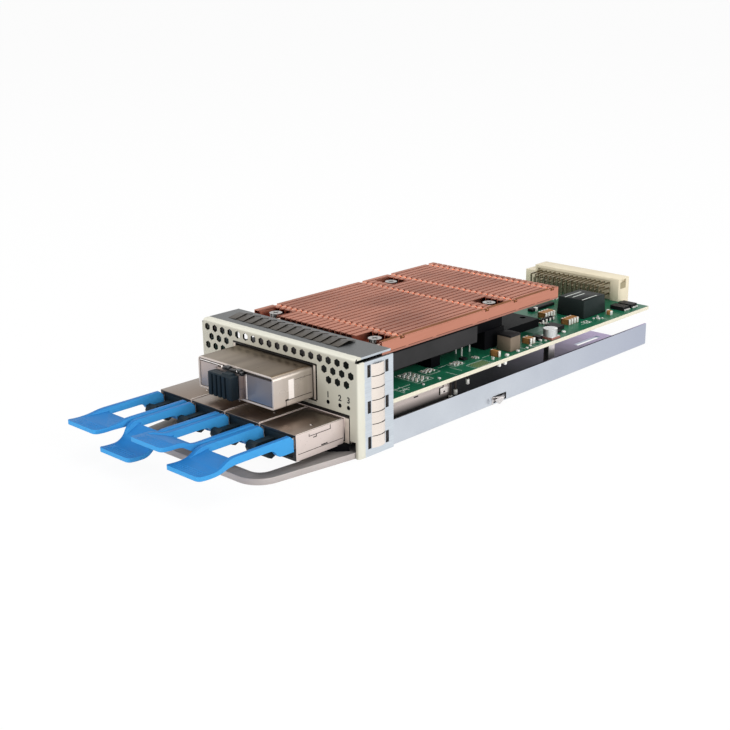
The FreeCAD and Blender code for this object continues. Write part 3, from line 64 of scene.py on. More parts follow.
def height_at(node, x, y):
    """Height of a CAD node's upper face at a spot, in millimetres."""
    data = frame["nodes"][node].data
    tree = BVHTree.FromPolygons([v.co for v in data.vertices], [p.vertices for p in data.polygons])
    return tree.ray_cast(Vector((x, y, ABOVE_ALL)) * MM, Vector((0, 0, -1)))[0].z / MM


BOARD_TOP = corners("main_board")[1].z
RAIL_TOP = corners("cooler_rails")[1].z


# Finishes
class Nodes:
    """The nodes of one tree."""

    def __init__(self, tree):
        self.tree = tree

    def add(self, kind, inputs, **settings):
        """A new node with its inputs fed and its settings made."""
        new = self.tree.nodes.new(kind)
        for setting, value in settings.items():
            setattr(new, setting, value)
        for socket, value in inputs.items():
            self.feed(new.inputs[socket], value)
        return new

    def feed(self, socket, value):
        if isinstance(value, bpy.types.NodeSocket):
            self.tree.links.new(value, socket)
        else:
            socket.default_value = value

    def combine(self, first, second, operation="MULTIPLY"):
        return self.add("ShaderNodeMath", {0: first, 1: second}, operation=operation).outputs["Value"]

    def spread(self, value, low, high, start=0.3, stop=0.7):
        """A value's stretch from start to stop, spread from low to high."""
        ends = {"From Min": start, "From Max": stop, "To Min": low, "To Max": high}
        return self.add("ShaderNodeMapRange", {"Value": value, **ends}).outputs["Result"]


class Finish(Nodes):
    """A procedural finish: one shader fed by patterns that lie on the object's own coordinates."""

    def __init__(self, metallic=0.0, specular=0.5):
        self.material = bpy.data.materials.new("finish")
        self.material.use_nodes = True
        super().__init__(self.material.node_tree)
        self.shader = self.tree.nodes["Principled BSDF"]
        self.feed(self.shader.inputs["Metallic"], metallic)
        self.feed(self.shader.inputs["Specular IOR Level"], specular)
        self.where = self.add("ShaderNodeTexCoord", {}).outputs["Object"]

    def placed(self, setting, value):
        """The object's coordinates, stretched or turned."""
        return self.add("ShaderNodeMapping", {"Vector": self.where, setting: value}).outputs["Vector"]

    def noise(self, per_metre, detail=3.0, stretch=(1, 1, 1)):
        inputs = {"Vector": self.placed("Scale", stretch), "Scale": per_metre, "Detail": detail}
        return self.add("ShaderNodeTexNoise", inputs).outputs["Fac"]

    def cells(self, per_metre, output, stretch):
        inputs = {"Vector": self.placed("Scale", stretch), "Scale": per_metre}
        return self.add("ShaderNodeTexVoronoi", inputs).outputs[output]

    def lanes(self, per_metre, length, turn=0.0, stagger=0.37, width=0.12):
        """Staggered straight lines, like the tracks of a circuit board."""
        turned = self.placed("Rotation", (0.0, 0.0, turn))
        sizes = {"Scale": per_metre, "Brick Width": length, "Row Height": 1.0, "Mortar Size": width}
        return self.add("ShaderNodeTexBrick", {"Vector": turned, **sizes}, offset=stagger).outputs["Fac"]

    def split(self, vector, axis):
        return self.add("ShaderNodeSeparateXYZ", {"Vector": vector}).outputs[axis]

    def facing(self, axis):
        return self.split(self.add("ShaderNodeNewGeometry", {}).outputs["Normal"], axis)

    def past(self, axis, start, stop):
        """0 at one place along an axis and 1 at another, in millimetres."""
        return self.spread(self.split(self.where, axis), 0.0, 1.0, start * MM, stop * MM)

    def faces(self, axis, start, stop, both=False):
        """0 where the normal's share along an axis is at start, and 1 where it is at stop."""
        share = self.facing(axis)
        if both:
            share = self.combine(share, 0.0, "ABSOLUTE")
        return self.spread(share, 0.0, 1.0, start, stop)

    def top_share(self, start=0.5, stop=0.9):
        return self.faces("Z", start, stop)

    def mix(self, share, under, over):
        blend = self.add("ShaderNodeMix", {"Factor": share}, data_type="RGBA")
        for socket, colour in (("A", under), ("B", over)):
            target = [s for s in blend.inputs if s.name == socket and s.type == "RGBA"][0]
            self.feed(target, colour if isinstance(colour, bpy.types.NodeSocket) else (*colour, 1.0))
        return [s for s in blend.outputs if s.type == "RGBA"][0]

    def clouded(self, pattern, under, over, share=1.0, start=0.3, stop=0.7):
        """One tone that another covers, up to a share, where a pattern is high."""
        return self.mix(self.spread(pattern, 0.0, share, start, stop), under, over)

    def bump(self, pattern, strength, depth):
        inputs = {"Strength": strength, "Distance": depth * MM, "Height": pattern}
        self.feed(self.shader.inputs["Normal"], self.add("ShaderNodeBump", inputs).outputs["Normal"])

    def made(self, colour, roughness, metallic=None):
        """The material, with its colour and roughness, and its share of metal where that varies."""
        self.feed(self.shader.inputs["Base Color"], colour)
        self.feed(self.shader.inputs["Roughness"], roughness)
        if metallic is not None:
            self.feed(self.shader.inputs["Metallic"], metallic)
        return self.material


# Black painted in as shade, in the panel's hole walls and along the tops of the port gaskets
PAINTED_SHADE_BLACK = (0.012, 0.011, 0.010)


def rolled_sheet(light, dark, roughness, streak=(40, 1, 40), metallic=1.0, top=None, share=0.22):
    """Bare or plated sheet: fine rolling streaks, cloudy colour, and a top in painted shade where one is
    given.
    """
    finish = Finish(metallic)
    lines = finish.noise(90, 5.0, streak)
    tone = finish.clouded(finish.noise(45, 4.0), light, dark)
    # painted shade: upward faces take the darker top colour
    if top:
        tone = finish.mix(finish.top_share(), tone, top)
    finish.bump(lines, 0.06, 0.03)
    streaked = finish.clouded(lines, tone, dark, share)
    return finish.made(streaked, finish.spread(lines, roughness - 0.05, roughness + 0.08))


def moulded(light, dark, roughness, grain=2600, strength=0.12, side=None, shine=0.15):
    """Moulded plastic: fine eroded grain, slight flow shading and a painted highlight on the flanks where
    one is given.
    """
    finish = Finish(specular=shine)
    skin = finish.noise(grain, 2.0)
    tone = finish.clouded(finish.noise(70, 3.0), light, dark)
    # painted highlight: faces that are neither upward nor downward take the lighter side colour
    if side:
        tone = finish.mix(finish.faces("Z", 0.8, 0.3, both=True), tone, side)
    finish.bump(skin, strength, 0.02)
    return finish.made(tone, finish.spread(skin, roughness - 0.06, roughness + 0.08))


def panel_paint(wrap=3.2, fade=0.15, ragged=0.12):
    """Cream powder paint on the face and over its bends, lighter on the bends and darker on the face as
    painted light and shade; the flanges behind are bare zinc.
    """
    finish = Finish()
    peel = finish.noise(1500, 3.0)
    cloud = finish.noise(30, 3.0)
    wander = finish.spread(finish.noise(700, 2.0), -ragged * MM, ragged * MM)
    depth = finish.combine(finish.split(finish.where, "Y"), wander, "ADD")
    behind = finish.spread(depth, 0.0, 1.0, (wrap - fade) * MM, (wrap + fade) * MM)
    bare = finish.combine(behind, finish.faces("Y", 0.5, 0.8), "MAXIMUM")
    # painted light and shade: the bends are painted lighter and the face darker
    bend = finish.clouded(cloud, (0.66, 0.645, 0.555), (0.61, 0.595, 0.505))
    face = finish.clouded(cloud, (0.475, 0.46, 0.385), (0.43, 0.41, 0.34))
    paint = finish.mix(finish.faces("Y", -0.8, -0.98), bend, face)
    # painted shade: the walls of the holes are black
    hole_wall = finish.combine(finish.faces("Y", 0.04, 0.02, both=True), finish.past("Y", 1.05, 0.95))
    paint = finish.mix(hole_wall, paint, PAINTED_SHADE_BLACK)
    zinc = finish.clouded(finish.noise(90, 4.0, (40, 1, 40)), (0.66, 0.71, 0.76), (0.56, 0.61, 0.66))
    # painted shade: the bare zinc of the top flange is darker
    zinc = finish.mix(finish.top_share(), zinc, (0.135, 0.14, 0.14))
    finish.bump(peel, 0.08, 0.03)
    return finish.made(finish.mix(bare, paint, zinc), finish.spread(peel, 0.38, 0.5), bare)


def tray_zinc():
    """Zinc sheet; the floor is in painted shade under the board and lightens to purple towards its open
    rear.
    """
    finish = Finish(metallic=1.0)
    lines = finish.noise(90, 5.0, (1, 30, 30))
    wall = finish.clouded(finish.noise(45, 4.0), (0.66, 0.70, 0.755), (0.57, 0.61, 0.67))
    wall = finish.mix(finish.past("Y", 80, 185), wall, (0.46, 0.495, 0.595))
    # painted shade: the floor is near black under the board and lightens towards the open rear
    floor = finish.mix(finish.past("Y", 60, 120), (0.012, 0.013, 0.022), (0.05, 0.042, 0.075))
    floor = finish.mix(finish.past("Y", 115, 165), floor, (0.41, 0.33, 0.52))
    tone = finish.mix(finish.top_share(), wall, floor)
    dulled = finish.mix(0.25, tone, (0.1, 0.1, 0.12))
    finish.bump(lines, 0.06, 0.03)
    return finish.made(finish.clouded(lines, tone, dulled, 0.2), finish.spread(lines, 0.31, 0.44))


def copper_sheet():
    """Drawn copper: streaks along the fins, a darker lip under the seam, and fin tops in painted shade
    with darker patches.
    """
    finish = Finish(specular=0.05)
    patches = finish.noise(38, 5.0, (1, 0.6, 1))
    draw = finish.noise(110, 4.0, (30, 1, 10))
    side = finish.clouded(patches, (0.61, 0.26, 0.182), (0.55, 0.225, 0.155))
    side = finish.mix(finish.past("Z", 32.6, 32.4), side, (0.42, 0.19, 0.145))
    # painted shade: the fin tops are darker than the flank, with darker patches
    top = finish.clouded(patches, (0.42, 0.158, 0.098), (0.23, 0.075, 0.042), 1.0, 0.38, 0.64)
    upward = finish.top_share()
    tone = finish.clouded(draw, finish.mix(upward, side, top), (0.54, 0.245, 0.165), 0.25)
    finish.bump(draw, 0.08, 0.04)
    metal = finish.spread(upward, 1.0, 0.5, 0.0, 1.0)
    return finish.made(tone, finish.spread(draw, 0.34, 0.48), metal)


def board_laminate():
    """Green mask over copper tracks on both faces, with the pale laminate bare along the sawn edge."""
    finish = Finish(specular=0.12)
    pours = finish.cells(60, "Color", (1, 1, 0))
    across = finish.combine(finish.spread(pours, 0.0, 1.0, 0.48, 0.52), finish.lanes(760, 9.0))
    quarter = finish.lanes(640, 12.0, math.radians(90))
    lengthwise = finish.combine(finish.spread(pours, 1.0, 0.0, 0.48, 0.52), quarter)
    tracks = finish.combine(across, lengthwise, "MAXIMUM")
    mask = finish.clouded(finish.noise(120, 2.0), (0.008, 0.105, 0.052), (0.005, 0.075, 0.038))
    mask = finish.clouded(pours, mask, (0.013, 0.15, 0.075), 0.45)
    mask = finish.clouded(tracks, mask, (0.02, 0.19, 0.10), 0.45, 0.0, 1.0)
    edge = finish.faces("Z", 0.7, 0.3, both=True)
    laminate = finish.clouded(finish.noise(900, 2.0, (1, 1, 6)), (0.74, 0.70, 0.57), (0.64, 0.60, 0.48))
    finish.bump(tracks, 0.15, 0.03)
    return finish.made(finish.mix(edge, mask, laminate), finish.spread(edge, 0.3, 0.65, 0.0, 1.0))


def module_nickel():
    """Satin nickel of the module housings: pale pinkish flanks, fronts in painted shadow, and tops in
    painted shade that deepens towards the panel.
    """
    finish = Finish(specular=0.3)
    grain = finish.noise(140, 3.0, (1, 10, 10))
    flank = finish.clouded(finish.noise(60, 3.0), (0.64, 0.55, 0.515), (0.59, 0.505, 0.47))
    # painted shadow: faces towards the front are near black
    flank = finish.mix(finish.faces("Y", -0.75, -0.9), flank, (0.012, 0.017, 0.024))
    # painted shade: the tops are darker than the flanks and darken further towards the panel, under the
    # line module
    top = finish.mix(finish.past("Y", -19, 0), (0.25, 0.20, 0.165), (0.20, 0.16, 0.125))
    upward = finish.top_share(0.2, 0.55)
    tone = finish.mix(upward, flank, top)
    worn = finish.mix(0.6, tone, (0.32, 0.27, 0.24))
    metal = finish.spread(upward, 0.2, 1.0, 0.0, 1.0)
    return finish.made(finish.clouded(grain, tone, worn, 0.1), finish.spread(grain, 0.27, 0.33), metal)


def line_nickel():
    """The line module's housing in painted light and shade: a taupe flank that darkens towards the rear, a
    lighter front, rear and underside, and a brown top darkening to the right and rear.
    """
    finish = Finish(specular=0.3)
    # painted shade: the flank darkens from the front towards the rear
    fall = finish.past("Y", -17, -4)
    flank = finish.mix(fall, (0.52, 0.455, 0.405), (0.31, 0.265, 0.215))
    drape = finish.noise(70, 3.0, (0.1, 5, 0.15))
    flank = finish.clouded(drape, flank, (0.66, 0.58, 0.52), 0.22)
    # painted highlight: the front and rear faces are lighter
    flank = finish.mix(finish.faces("Y", 0.5, 0.9, both=True), flank, (0.60, 0.525, 0.475))
    # painted light: the underside is lighter, and the client tops below reflect it
    flank = finish.mix(finish.faces("Z", -0.5, -0.9), flank, (0.66, 0.57, 0.50))
    # painted shade: the top darkens to the right and towards the rear
    rightward = finish.past("X", -20, 14)
    near = finish.mix(rightward, (0.33, 0.28, 0.225), (0.19, 0.15, 0.105))
    far = finish.mix(rightward, (0.22, 0.175, 0.125), (0.12, 0.085, 0.055))
    # painted reflection: dark bands along the top
    reflection_bands = finish.noise(85, 2.0, (1, 0.08, 0.3))
    top = finish.clouded(reflection_bands, finish.mix(fall, near, far), (0.05, 0.032, 0.018), 0.5, 0.38, 0.62)
    upward = finish.top_share()
    metal = finish.spread(upward, 0.3, 1.0, 0.0, 1.0)
    cloud = finish.noise(60, 3.0)
    return finish.made(finish.mix(upward, flank, top), finish.spread(cloud, 0.26, 0.34), metal)


def rail_paint():
    """Satin dark grey on the cooler's rails, in shadow over the connector cover and under the cooler."""
    finish = Finish(specular=0.04)
    skin = finish.noise(1800, 2.0)
    grey = finish.clouded(finish.noise(60, 3.0), (0.052, 0.050, 0.052), (0.040, 0.039, 0.040))
    above = finish.past("Z", RAIL_TOP - 2.3, RAIL_TOP - 2.0)
    hidden = finish.combine(finish.past("Y", 83.0, 83.6), above, "MAXIMUM")
    finish.bump(skin, 0.12, 0.02)
    return finish.made(finish.mix(hidden, grey, (0.002, 0.002, 0.003)), finish.spread(skin, 0.38, 0.5))


def cage_side():
    """Thin plated sheet whose flank turns dark towards its foot, in painted shade."""
    finish = Finish(metallic=0.2, specular=0.2)
    lines = finish.noise(120, 4.0, (1, 20, 20))
    # painted shade: near black towards the foot
    tone = finish.mix(finish.past("Z", 11.5, 8.0), (0.82, 0.71, 0.67), (0.012, 0.014, 0.014))
    tone = finish.clouded(lines, tone, (0.3, 0.26, 0.24), 0.15)
    return finish.made(tone, finish.spread(lines, 0.26, 0.36))


def shaded_fingers():
    """The top strip's fingers, a copy of the spring metal in painted shade: brown-grey ahead of their
    ridge and dark behind it.
    """
    finish = Finish(metallic=1.0)
    lines = finish.noise(250, 4.0, (8, 1, 1))
    # painted light and shade: faces towards the front are lighter than those towards the rear
    tone = finish.mix(finish.faces("Y", 0.1, -0.1), (0.03, 0.026, 0.021), (0.052, 0.040, 0.025))
    tone = finish.clouded(lines, tone, (0.05, 0.042, 0.034), 0.3)
    return finish.made(tone, finish.spread(lines, 0.3, 0.4))


def filter_can():
    """A drawn can on a red moulded foot, with painted shade down its sides."""
    finish = Finish(specular=0.3)
    streaks = finish.cells(420, "Distance", (1, 1, 0.1))
    silver = finish.clouded(streaks, (0.92, 0.93, 0.92), (0.60, 0.61, 0.61), 1.0, 0.2, 0.6)
    # painted shade: the can's side darkens where it faces the right rear or the left front
    diagonal = finish.combine(finish.facing("X"), finish.facing("Y"), "ADD")
    edge = finish.combine(diagonal, 0.0, "ABSOLUTE")
    silver = finish.clouded(edge, silver, (0.07, 0.075, 0.075), 0.75, 0.6, 1.2)
    drawn = finish.past("Z", BOARD_TOP + 1.0, BOARD_TOP + 1.1)
    tone = finish.mix(drawn, (0.30, 0.115, 0.09), silver)
    metal = finish.spread(drawn, 0.0, 0.5, 0.0, 1.0)
    return finish.made(tone, finish.spread(streaks, 0.22, 0.3), metal)


def port_gasket(shade_above):
    """Sprung frame round a port: pale beside the modules and in shadow along its top."""
    finish = Finish(metallic=0.3, specular=0.2)
    lines = finish.noise(300, 3.0)
    pale = finish.clouded(lines, (0.62, 0.55, 0.48), (0.50, 0.44, 0.38))
    upper = finish.past("Z", shade_above - 0.2, shade_above + 0.2)
    return finish.made(finish.mix(upper, pale, PAINTED_SHADE_BLACK), finish.spread(lines, 0.3, 0.42))


def glass_plate():
    """The dark glossy face plate: blue-grey that lightens towards its foot."""
    finish = Finish(specular=0.25)
    cloud = finish.noise(90, 3.0)
    tone = finish.mix(finish.past("Z", 28, 19), (0.16, 0.15, 0.16), (0.10, 0.13, 0.19))
    tone = finish.clouded(cloud, tone, (0.17, 0.145, 0.14), 0.35)
    return finish.made(tone, finish.spread(cloud, 0.12, 0.25))


FINISHES = {
    "painted_panel": panel_paint(),
    "zinc_tray": tray_zinc(),
    "post_zinc": rolled_sheet((0.75, 0.70, 0.68), (0.60, 0.57, 0.56), 0.3, (20, 20, 1)),
    "post_pale": rolled_sheet((0.66, 0.64, 0.63), (0.52, 0.50, 0.50), 0.3, metallic=0.4),
    # the side strip's spring metal, pale in painted light; the top strip's copy on the next line is in
    # painted shade
    "spring_metal": rolled_sheet((0.93, 0.84, 0.77), (0.84, 0.76, 0.69), 0.3),
    "spring_shaded": shaded_fingers(),
    "latch_steel": rolled_sheet((0.55, 0.52, 0.51), (0.42, 0.40, 0.40), 0.28),
    "line_gasket": port_gasket(30.9),
    "client_gasket": port_gasket(14.5),
    "cage_dark": rolled_sheet((0.014, 0.013, 0.012), (0.009, 0.009, 0.008), 0.4, metallic=0.2),
    # the handle's top is in painted shade
    "handle_grey": rolled_sheet(
        (0.47, 0.425, 0.41), (0.40, 0.36, 0.345), 0.5, metallic=0.15, top=(0.15, 0.14, 0.135)),
    # the screw heads' tops are in painted shade
    "screw_steel": rolled_sheet((0.62, 0.60, 0.57), (0.40, 0.385, 0.37), 0.25, top=(0.36, 0.345, 0.33)),
    "board_green": board_laminate(),
    "module_nickel": module_nickel(),
    "line_nickel": line_nickel(),
    "plate_pale": rolled_sheet((0.47, 0.40, 0.375), (0.41, 0.35, 0.33), 0.32, share=0.1),
    "glass_plate": glass_plate(),
    # painted highlight: a lighter copy of the nickel for stripes, edges, a lug and glints
    "bright_nickel": rolled_sheet((0.97, 0.90, 0.85), (0.93, 0.85, 0.80), 0.3, metallic=0.1, share=0.08),
    "seam_shadow": moulded((0.05, 0.04, 0.035), (0.03, 0.025, 0.022), 0.6),
    "cage_sheet": cage_side(),
    "dark_rail": rail_paint(),
    "foot_black": moulded((0.003, 0.003, 0.004), (0.002, 0.002, 0.003), 0.5, shine=0.03),
    "copper": copper_sheet(),
    # painted highlight: brighter copper on the curled fin tips
    "copper_tip": rolled_sheet((0.80, 0.36, 0.225), (0.55, 0.22, 0.13), 0.3, (8, 8, 8), share=0.4),
    "copper_shadow": rolled_sheet((0.20, 0.085, 0.055), (0.14, 0.06, 0.04), 0.4),
    # painted shadow in the gap beside the cooler's flank
    "copper_brown": moulded((0.22, 0.085, 0.032), (0.15, 0.055, 0.02), 0.5, shine=0.03),
    # painted shade in the gaps between the fins
    "copper_gap": moulded((0.15, 0.05, 0.032), (0.11, 0.036, 0.023), 0.6, shine=0.05),
    # the tabs' flanks carry a painted highlight
    "tab_blue": moulded(
        (0.020, 0.175, 0.46), (0.017, 0.155, 0.425), 0.45, side=(0.048, 0.30, 0.64), shine=0.1),
    "plug_black": moulded((0.009, 0.017, 0.023), (0.006, 0.012, 0.017), 0.45),
    "latch_gloss": moulded((0.008, 0.009, 0.010), (0.005, 0.006, 0.007), 0.16, shine=0.6),
    "connector_black": moulded((0.008, 0.008, 0.009), (0.005, 0.005, 0.006), 0.4, shine=0.03),
    "connector_beige": moulded((0.76, 0.68, 0.51), (0.68, 0.60, 0.44), 0.45),
    "beige_shade": moulded((0.36, 0.31, 0.20), (0.30, 0.26, 0.165), 0.6),
    "pin_gold": rolled_sheet((0.40, 0.34, 0.25), (0.28, 0.24, 0.17), 0.3),
    # the power block's flanks carry a painted highlight
    "power_dark": moulded(
        (0.004, 0.006, 0.006), (0.003, 0.004, 0.004), 0.35, side=(0.02, 0.028, 0.027), shine=0.05),
    "ferrite": moulded((0.25, 0.195, 0.145), (0.16, 0.125, 0.092), 0.6, 1400, 0.3),
    "can_silver": filter_can(),
    "chip_black": moulded((0.012, 0.012, 0.013), (0.008, 0.008, 0.009), 0.5),
    "ceramic_tan": moulded((0.46, 0.225, 0.075), (0.34, 0.16, 0.055), 0.45),
    "tin": rolled_sheet((0.90, 0.89, 0.85), (0.74, 0.73, 0.69), 0.3, (6, 6, 6), metallic=0.2, share=0.3),
    "pad_gold": rolled_sheet((0.42, 0.40, 0.18), (0.28, 0.29, 0.12), 0.4, metallic=0.3),
    # white for the printing on the board and for the painted reflection stripes on the power block
    "silkscreen": moulded((0.78, 0.82, 0.76), (0.66, 0.70, 0.64), 0.6),
    "pale_mask": moulded((0.16, 0.27, 0.22), (0.12, 0.22, 0.18), 0.4),
    "panel_ink": moulded((0.035, 0.035, 0.035), (0.025, 0.025, 0.025), 0.6),
    "light_clear": moulded((0.02, 0.022, 0.02), (0.015, 0.016, 0.015), 0.2),
}
for name, material in FINISHES.items():
    material.name = name

slot_of = {row["node"]: row["material_slot"] for row in frame["record"]["subparts"]}
body_of = {node: body for body, nodes in frame["record"]["behaviour"]["bodies"].items() for node in nodes}
finish_of = {
    **slot_of,
    "top_gasket": "spring_shaded",
    "side_latches": "latch_steel",
    "standoffs": "post_zinc",
    "line_cage_gasket": "line_gasket",
    "client_cage_gasket": "client_gasket",
    "line_cage": "cage_dark",
    "line_module_shell": "line_nickel",
    "line_receptacle": "plate_pale",
    "line_face_plate": "glass_plate",
}
for name, thing in frame["nodes"].items():
    thing.data.materials.clear()
    thing.data.materials.append(FINISHES[finish_of[name]])


# Building pieces
SMOOTH_ANGLE = math.radians(40)
RIM_ANGLE = math.radians(60)


class Form:
    """A mesh under construction from bmesh operators, in millimetres."""

    def __init__(self):
        self.mesh = bmesh.new()

    def brick(self, low, high, bevel=0.0, turn=None):
        """A block between two corners, turned about its own middle if a turn is given."""
        low, high = Vector(low) * MM, Vector(high) * MM
        place = Matrix.Translation((low + high) / 2)
        if turn:
            place = place @ turn
        place = place @ Matrix.Diagonal((*(high - low), 1.0))
        made = bmesh.ops.create_cube(self.mesh, size=1.0, matrix=place)
        if bevel:
            self.round_over({edge for vert in made["verts"] for edge in vert.link_edges}, bevel)

    def patch(self, near, far, rim, bevel=0.0):
        """A block on an upright flank; its rim is its front, foot, rear and top."""
        front, foot, rear, top = rim
        self.brick((near, front, foot), (far, rear, top), bevel)

    def drum(self, centre, radius, low, high, sides, bevel=0.0):
        """An upright round bar."""
        place = Matrix.Translation(Vector((*centre, (low + high) / 2)) * MM)
        made = bmesh.ops.create_cone(
            self.mesh, cap_ends=True, segments=sides, radius1=radius * MM, radius2=radius * MM,
            depth=(high - low) * MM, matrix=place)
        if bevel:
            edges = {edge for vert in made["verts"] for edge in vert.link_edges}
            self.round_over([edge for edge in edges if edge.calc_face_angle(0.0) > RIM_ANGLE], bevel, 3)

    def plate(self, outline, low, high, axis=2, turn=None):
        """A flat plate of any outline, thick along an axis, turned about its middle if a turn is given."""
        rim = [self.mesh.verts.new(Vector((*pair[:axis], low, *pair[axis:])) * MM) for pair in outline]
        made = bmesh.ops.extrude_face_region(self.mesh, geom=[self.mesh.faces.new(rim)])
        lifted = [item for item in made["geom"] if isinstance(item, bmesh.types.BMVert)]
        reach = Vector((0, 0, 0))
        reach[axis] = (high - low) * MM
        bmesh.ops.translate(self.mesh, verts=lifted, vec=reach)
        if turn:
            verts = rim + lifted
            middle = sum((vert.co for vert in verts), Vector()) / len(verts)
            bmesh.ops.rotate(self.mesh, verts=verts, cent=middle, matrix=turn)

    def round_over(self, edges, radius, segments=2):
        bmesh.ops.bevel(
            self.mesh, geom=list(edges), offset=radius * MM, offset_type="OFFSET", segments=segments,
            profile=0.5, affect="EDGES", clamp_overlap=True, material=-1)

    def piece(self, name, finish, slot, body="card", replaces=(), smooth=SMOOTH_ANGLE):
        """Turn the form into a piece that rides on a body."""
        bmesh.ops.recalc_face_normals(self.mesh, faces=self.mesh.faces)
        mesh = bpy.data.meshes.new(name)
        self.mesh.to_mesh(mesh)
        self.mesh.free()
        mesh.materials.append(FINISHES[finish])
        for face in mesh.polygons:
            face.use_smooth = True
        mesh.set_sharp_from_angle(angle=smooth)
        piece = bpy.data.objects.new(name, mesh)
        scene.collection.objects.link(piece)
        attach(piece, body)
        if replaces:
            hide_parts(*replaces)


# Moulded and folded pieces with their edges rounded over
CLIENTS = (1, 2, 3, 4)
WELD = 0.001
FLAT_ANGLE = math.radians(1)
SHARP_ANGLE = math.radians(35)
SOFT_EDGES = {
    "handle": 0.5, "line_module_shell": 0.7, "line_plug": 0.35, "power_block": 0.3, "inductor": 0.35,
    "backplane_connector": 0.2,
}
for number in CLIENTS:
    SOFT_EDGES[f"pull_tab_{number}"] = 0.4
    SOFT_EDGES[f"client_module_{number}"] = 0.15
    SOFT_EDGES[f"client_plug_{number}"] = 0.35
MOULD_DRAFT = {"power_block": 0.94}
FOLDED_TOPS = {"line_module_shell": (0.8, 2.0)}


def widen_folds(form, upper, node, tight, wide):
    """Open the two long upper folds of a shell from one radius to another."""
    low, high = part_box(node)
    for end, inward in ((low.x, tight * MM), (high.x, -tight * MM)):
        middle = Vector((end + inward, high.z - tight * MM))
        bent = [vert for vert in upper if abs((vert.co.xz - middle).length - tight * MM) < SKIN * MM]
        bmesh.ops.scale(
            form.mesh, vec=(wide / tight, 1.0, wide / tight),
            space=Matrix.Translation((-end, 0.0, -high.z)), verts=bent)


def softened(node, radius):
    """Stand-in for a CAD node with its edges rounded over; some draw in towards the top or fold wider."""
    form = Form()
    form.mesh.from_mesh(frame["nodes"][node].data)
    bmesh.ops.remove_doubles(form.mesh, verts=form.mesh.verts, dist=WELD * MM)
    bmesh.ops.dissolve_limit(
        form.mesh, angle_limit=FLAT_ANGLE, verts=form.mesh.verts, edges=form.mesh.edges)
    low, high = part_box(node)
    upper = [vert for vert in form.mesh.verts if vert.co.z > (low.z + high.z) / 2]
    if node in MOULD_DRAFT:
        draft = MOULD_DRAFT[node]
        bmesh.ops.scale(
            form.mesh, vec=(draft, draft, 1.0), space=Matrix.Translation(-(low + high) / 2), verts=upper)
    if node in FOLDED_TOPS:
        widen_folds(form, upper, node, *FOLDED_TOPS[node])
    form.round_over([e for e in form.mesh.edges if e.calc_face_angle(0.0) > SHARP_ANGLE], radius)
    form.piece(f"{node}_soft", finish_of[node], slot_of[node], body_of[node], (node,), SHARP_ANGLE)


for node, radius in SOFT_EDGES.items():
    softened(node, radius)


# Copper cooler
FIN_LOW, FIN_HIGH = corners("fin_stack")
FIN_WALL = 0.35
FIN_COUNT = 23
FIN_STEP = (FIN_HIGH.x - FIN_LOW.x - FIN_WALL) / FIN_COUNT
FIN_CAP = 2.35
FIN_CUTS = (34.0, 84.5, 103.0, 128.5)
TIP_SIZE = Vector((FIN_STEP - 0.4, 2.6, 0.28))
TIP_SWING = math.radians(-30)
TIP_TILT = math.radians(14)
TIP_DROP = 0.42
GAP_DEPTH = 0.3
GAP_END = 0.2
FOOT_SHEET = 0.1
CUT_SIDE = 0.3
CUT_HALF = 1.2
NICK_SIZE = (1.3, 0.6, 0.9)
STRIP_SIDES = (2.0, 0.2)
STRIP_END = 1.4
POCKET_PLACES = (-28.2, 26.0)
POCKET_HALF = 6.5
POCKET_STRETCHES = ((31.4, 89.6), (99.4, 132.6))
SEAM_HEIGHT = 32.5
SEAM_WIDTH = 0.2
SEAM_START = 4
SEAM_DASHES = ((9, 1.5), (14, 2), (22, 3), (6, 1), (18, 2), (11, 1.5), (9, 0))


def curled_tips():
    """The end of each fin's cap, curled down where the cross cuts were sheared, in a painted highlight."""
    turn = Matrix.Rotation(TIP_SWING, 4, "Z") @ Matrix.Rotation(TIP_TILT, 4, "X")
    form = Form()
    for cut in FIN_CUTS:
        for fin in range(FIN_COUNT):
            x = FIN_LOW.x + FIN_WALL + (fin + 0.5) * FIN_STEP
            middle = Vector((x, cut, FIN_HIGH.z - TIP_DROP))
            form.brick(middle - TIP_SIZE / 2, middle + TIP_SIZE / 2, turn=turn)
    form.piece("fin_tips", "copper_tip", "copper")


def fin_feet():
    """The folded foot of each fin, seen between the caps and under the cross cuts, in painted shade."""
    foot = FIN_HIGH.z - GAP_DEPTH
    form = Form()
    for fin in range(FIN_COUNT):
        left = FIN_LOW.x + fin * FIN_STEP
        right = left + FIN_STEP
        stretches = [(FIN_LOW.y + GAP_END, FIN_HIGH.y - GAP_END)]
        if min(abs(right - x) for x in POCKET_PLACES) < POCKET_HALF:
            stretches = POCKET_STRETCHES
        for front, rear in stretches:
            form.brick((left + FIN_CAP, front, foot - FOOT_SHEET), (right + FIN_WALL, rear, foot))
    bed = foot - GAP_DEPTH
    for cut in FIN_CUTS:
        form.brick((FIN_LOW.x + CUT_SIDE, cut - CUT_HALF, bed - FOOT_SHEET),
                   (FIN_HIGH.x - CUT_SIDE, cut + CUT_HALF, bed))
    form.piece("fin_feet", "copper_gap", "copper")


def fin_edge():
    """A strip of painted shadow beside the flank, and a nick in the flank's upper edge at each cut in
    painted shade.
    """
    width, half, depth = NICK_SIZE
    flank, top = FIN_HIGH.x, FIN_HIGH.z
    inner, outer = (flank - side for side in STRIP_SIDES)
    form = Form()
    for cut in FIN_CUTS:
        form.brick((flank - width, cut - half, top - depth), (flank + SKIN, cut + half, top + SKIN))
    for front, rear in zip((FIN_LOW.y, *FIN_CUTS), (*FIN_CUTS, FIN_HIGH.y)):
        form.brick((inner, front + STRIP_END, top - SKIN / 2), (outer, rear - STRIP_END, top + SKIN / 2))
    form.piece("fin_edge_shadow", "copper_brown", "copper")


